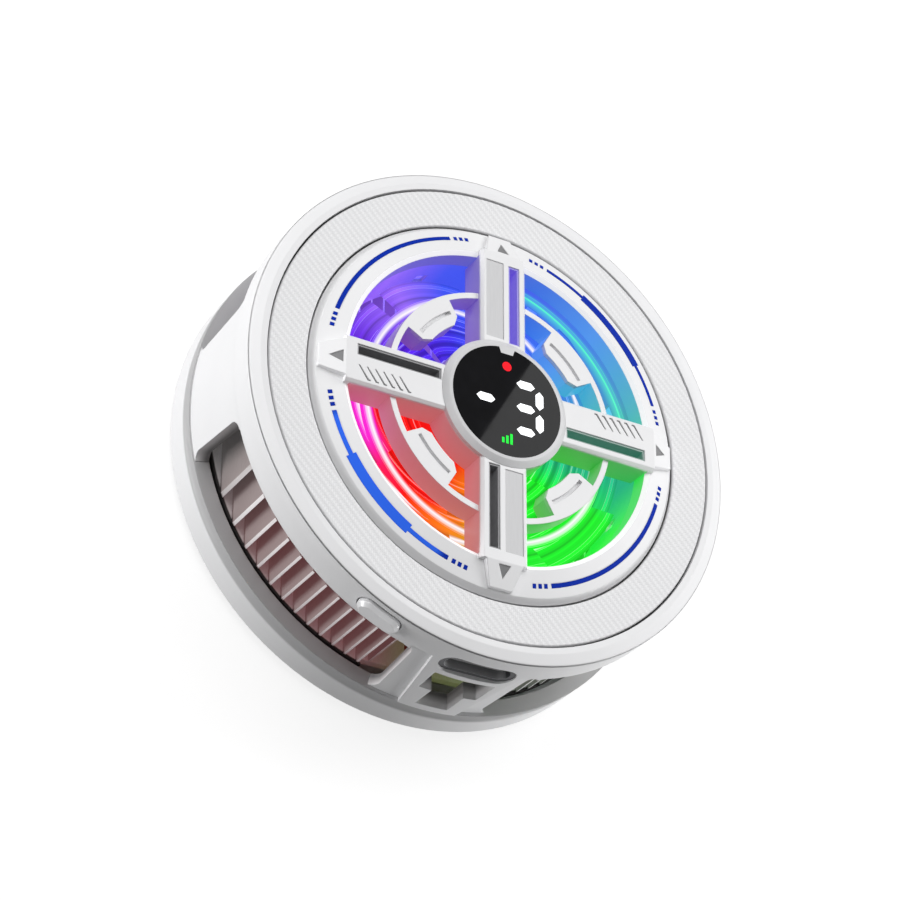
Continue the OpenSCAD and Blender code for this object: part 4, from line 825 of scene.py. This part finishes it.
def board_green():
    """Circuit board: solder mask over copper tracks."""
    made = Shading("board_green", MASK, roughness=0.35)
    tracks = made.nodes.new("ShaderNodeTexBrick")
    tracks.inputs["Scale"].default_value = 1.3
    tracks.inputs["Mortar Size"].default_value = 0.09
    tracks.inputs["Color1"].default_value = (*MASK, 1.0)
    tracks.inputs["Color2"].default_value = (*MASK_PALE, 1.0)
    tracks.inputs["Mortar"].default_value = (*TRACK, 1.0)
    made.links.new(made.place(), tracks.inputs["Vector"])
    made.feed(tracks.outputs["Color"], "Base Color")
    made.gloss(made.noise(scale=3.0), change=0.06)
    made.relief(tracks.outputs["Fac"], depth=0.03)
    return made


def ribbon():
    """Flat cable: amber film over parallel copper strips."""
    made = Shading("ribbon", (0.62, 0.30, 0.05), roughness=0.3)
    strips = made.nodes.new("ShaderNodeTexWave")
    strips.inputs["Scale"].default_value = 1.2
    made.links.new(made.place(), strips.inputs["Vector"])
    made.feed(made.ramp(strips.outputs["Fac"], [(0.35, FILM), (0.6, STRIP)]), "Base Color")
    made.gloss(made.noise(scale=3.0), change=0.05)
    made.relief(strips.outputs["Fac"], depth=0.03)
    return made


def copper_wire():
    """Enamelled wire, turn beside turn."""
    made = Shading("copper_wire", (0.62, 0.24, 0.10), roughness=0.28, metallic=1.0)
    turns = made.nodes.new("ShaderNodeTexWave")
    turns.bands_direction = "Z"
    turns.inputs["Scale"].default_value = 1.6
    turns.inputs["Distortion"].default_value = 0.4
    made.links.new(made.place(), turns.inputs["Vector"])
    made.tones(turns.outputs["Fac"], change=0.25)
    made.gloss(made.noise(scale=3.0), change=0.06)
    made.relief(turns.outputs["Fac"], depth=0.08)
    return made


# Metals: colour, roughness and, for drawn or ground lines, their stretch along each axis
METALS = {
    "brass": ((0.72, 0.52, 0.22), 0.3),
    "bush_bronze": ((0.45, 0.28, 0.13), 0.5),
    "lamination": ((0.25, 0.25, 0.27), 0.45, (0.2, 0.2, 1.0)),
    "rotor_steel": ((0.42, 0.42, 0.44), 0.35),
    "magnet_nickel": ((0.6, 0.59, 0.57), 0.22),
    "shaft_steel": ((0.66, 0.66, 0.68), 0.15, (1.0, 1.0, 0.2)),
    "cold_aluminium": ((0.74, 0.75, 0.77), 0.3, (0.1, 1.0, 1.0)),
    "pellet_grey": ((0.3, 0.31, 0.34), 0.4),
    "screw_steel": ((0.40, 0.40, 0.42), 0.3),
}

# Plastics: colour, roughness and, where it isn't the usual one, the grain per millimetre
PLASTICS = {
    "magnet_black": ((0.05, 0.05, 0.055), 0.6),
    "ceramic_white": ((0.8, 0.8, 0.78), 0.55, 12.0),
    "lead_red": ((0.42, 0.02, 0.02), 0.45),
    "chip_black": ((0.02, 0.02, 0.022), 0.5),
    "tongue_black": ((0.14, 0.14, 0.145), 0.5),
}

# Rubbers: colour, and pores per millimetre
RUBBERS = {
    "foam_grey": ((0.05, 0.05, 0.055), 4.0),
    "pad_silicone": ((0.55, 0.55, 0.57), 8.0),
}

# Lit marks of the display: colour
LIT_MARKS = {
    "lit_white": ((0.95, 0.97, 1.0),),
    "lit_red": ((0.60, 0.005, 0.012),),
    "lit_green": ((0.012, 0.60, 0.04),),
}

# Finish of each material slot
FINISHES = {
    "white_shell": white_shell,
    "trim_weave": trim_weave,
    "dark_adhesive": dark_adhesive,
    "accent_blue": accent_blue,
    "mark_grey": mark_grey,
    "panel_silver": panel_silver,
    "liner_dark": liner_dark,
    "hub_silver": hub_silver,
    "lens_black": lens_black,
    "board_green": board_green,
    "ribbon": ribbon,
    "frame_grey": frame_grey,
    "led_yellow": led_yellow,
    "copper_wire": copper_wire,
    "fan_plastic": fan_plastic,
    "fin_aluminium": fin_aluminium,
    "socket_steel": socket_steel,
}
for make, rows in ((metal, METALS), (plastic, PLASTICS), (rubber, RUBBERS), (lit_mark, LIT_MARKS)):
    for slot_name, row in rows.items():
        FINISHES[slot_name] = partial(make, slot_name, *row)

# Nodes that differ from the other nodes of their slot
NODE_FINISHES = {
    "front_grille": lit_grille,
    "side_housing": vented_wall,
    "rear_cover": base_shell,
    "power_button": button_satin,
}


def finish_nodes():
    """Every CAD node gets the finish of its slot in the record, or its own."""
    made = {}
    for part in frame["record"]["subparts"]:
        slot, node = part["material_slot"], part["node"]
        if slot not in made:
            made[slot] = FINISHES[slot]().material
        mesh = NODES[node].data
        mesh.materials.clear()
        mesh.materials.append(NODE_FINISHES[node]().material if node in NODE_FINISHES else made[slot])
    return made


# Woven trim ring

YARN = 0.275 * MM
YARN_STEPS = 2.8
FLOAT_RISE = 0.10 * MM
TRIM_EDGE = 0.1 * MM
YARN_TONE_AND_SHADE = "yarn_tone_and_shade"
WEFT_TONE = 0.72
YARN_CROWN = 1.7
YARN_DIP = 1.6


def weave(x, y):
    """Height and tone of a two-over-two twill of flat yarns, each from 0 to 1; the tone carries painted
    shade in the dips.
    """
    i, j = math.floor(x / YARN), math.floor(y / YARN)
    u, v = x / YARN - i - 0.5, y / YARN - j - 0.5
    step = (i + j) % 4
    if step < 2:
        across, along = u, (v + (step - 0.5)) / 2
    else:
        across, along = v, (u - (step - 2.5)) / 2
    crown = math.sqrt(max(0.0, 1.0 - (YARN_CROWN * across) ** 2))
    height = crown * (1.0 - YARN_DIP * along * along)
    # the tone follows the height: painted shade where the yarn dips
    return height, height * (1.0 if step < 2 else WEFT_TONE)


def turned_ring(name, profile, columns, shape=None):
    """Ring with a closed section of (radius, height) points, clockwise, and the tones of its points.

    The shape, if any, gives each point's rise and tone.
    """
    points, tones, faces = [], [], []
    for c in range(columns):
        angle = math.tau * c / columns
        for k, (radius, z) in enumerate(profile):
            x, y = radius * math.cos(angle), radius * math.sin(angle)
            rise, tone = shape(k, x, y) if shape else (0.0, 0.0)
            points.append((x, y, z + rise))
            tones.append(tone)
    count = len(profile)
    for c in range(columns):
        a, b = c * count, (c + 1) % columns * count
        for k in range(count):
            n = (k + 1) % count
            faces.append((a + k, a + n, b + n, b + k))
    mesh = bpy.data.meshes.new(name)
    mesh.from_pydata(points, [], faces)
    mesh.polygons.foreach_set("use_smooth", [True] * len(faces))
    mesh.update()
    ring = bpy.data.objects.new(name, mesh)
    bpy.context.scene.collection.objects.link(ring)
    return ring, tones


def put_in_place(ring, node, finish):
    """The ring stands in for a CAD node of the case."""
    ring.data.materials.append(finish)
    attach(ring, "case")
    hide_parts(node)


def woven_trim(finish):
    """Ring with a woven face and rounded rims, closed underneath."""
    step = YARN / YARN_STEPS
    inner, outer = TRIM_IN_R + TRIM_EDGE, TRIM_OUT_R - TRIM_EDGE
    rows = round((outer - inner) / step)
    face_z = TRIM_TOP - FLOAT_RISE
    profile = [(TRIM_IN_R, TRIM_FOOT), (TRIM_IN_R, face_z - TRIM_EDGE)]
    profile += [(inner + (outer - inner) * k / rows, face_z) for k in range(rows + 1)]
    profile += [(TRIM_OUT_R, face_z - TRIM_EDGE), (TRIM_OUT_R, TRIM_FOOT)]

    def shape(k, x, y):
        if not 2 <= k <= rows + 2:
            return 0.0, 0.0
        height, tone = weave(x, y)
        return FLOAT_RISE * height, tone

    ring, tones = turned_ring("woven_trim", profile, round(math.tau * outer / step), shape)
    ring.data.attributes.new(YARN_TONE_AND_SHADE, "FLOAT", "POINT").data.foreach_set("value", tones)
    put_in_place(ring, "trim_ring", finish)


# Silicone contact ring

PAD_IN_R, PAD_OUT_R = radii("contact_pad")
PAD_FOOT, PAD_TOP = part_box("contact_pad")[0].z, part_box("contact_pad")[1].z
PAD_EDGE = 0.28 * MM
PAD_EDGE_STEPS = 5
PAD_RIB = 0.06 * MM
PAD_RIBS = 6
PAD_RIB_STEPS = 10
PAD_COLUMNS = 192


def silicone_ring(finish):
    """Soft ring with a rounded lower edge and shallow grip ribs on its face."""
    profile = [(PAD_OUT_R, PAD_TOP), (PAD_IN_R, PAD_TOP)]
    bends = [math.pi / 2 * k / PAD_EDGE_STEPS for k in range(PAD_EDGE_STEPS + 1)]
    profile += [(PAD_IN_R + PAD_EDGE * (1.0 - math.cos(b)), PAD_FOOT + PAD_EDGE * (1.0 - math.sin(b)))
                for b in bends]
    width = PAD_OUT_R - PAD_IN_R - 2 * PAD_EDGE
    steps = PAD_RIBS * PAD_RIB_STEPS
    for k in range(1, steps):
        lift = PAD_RIB * (0.5 - 0.5 * math.cos(math.tau * PAD_RIBS * k / steps))
        profile.append((PAD_IN_R + PAD_EDGE + width * k / steps, PAD_FOOT + lift))
    profile += [(PAD_OUT_R - PAD_EDGE * (1.0 - math.cos(b)), PAD_FOOT + PAD_EDGE * (1.0 - math.sin(b)))
                for b in reversed(bends)]
    ring, _ = turned_ring("silicone_ring", profile[::-1], PAD_COLUMNS)
    put_in_place(ring, "contact_pad", finish)


make_camera()
make_world()
make_floor()
make_softboxes()
finishes = finish_nodes()
woven_trim(finishes["trim_weave"])
silicone_ring(finishes["pad_silicone"])
bpy.context.scene.view_settings.view_transform = "Standard"
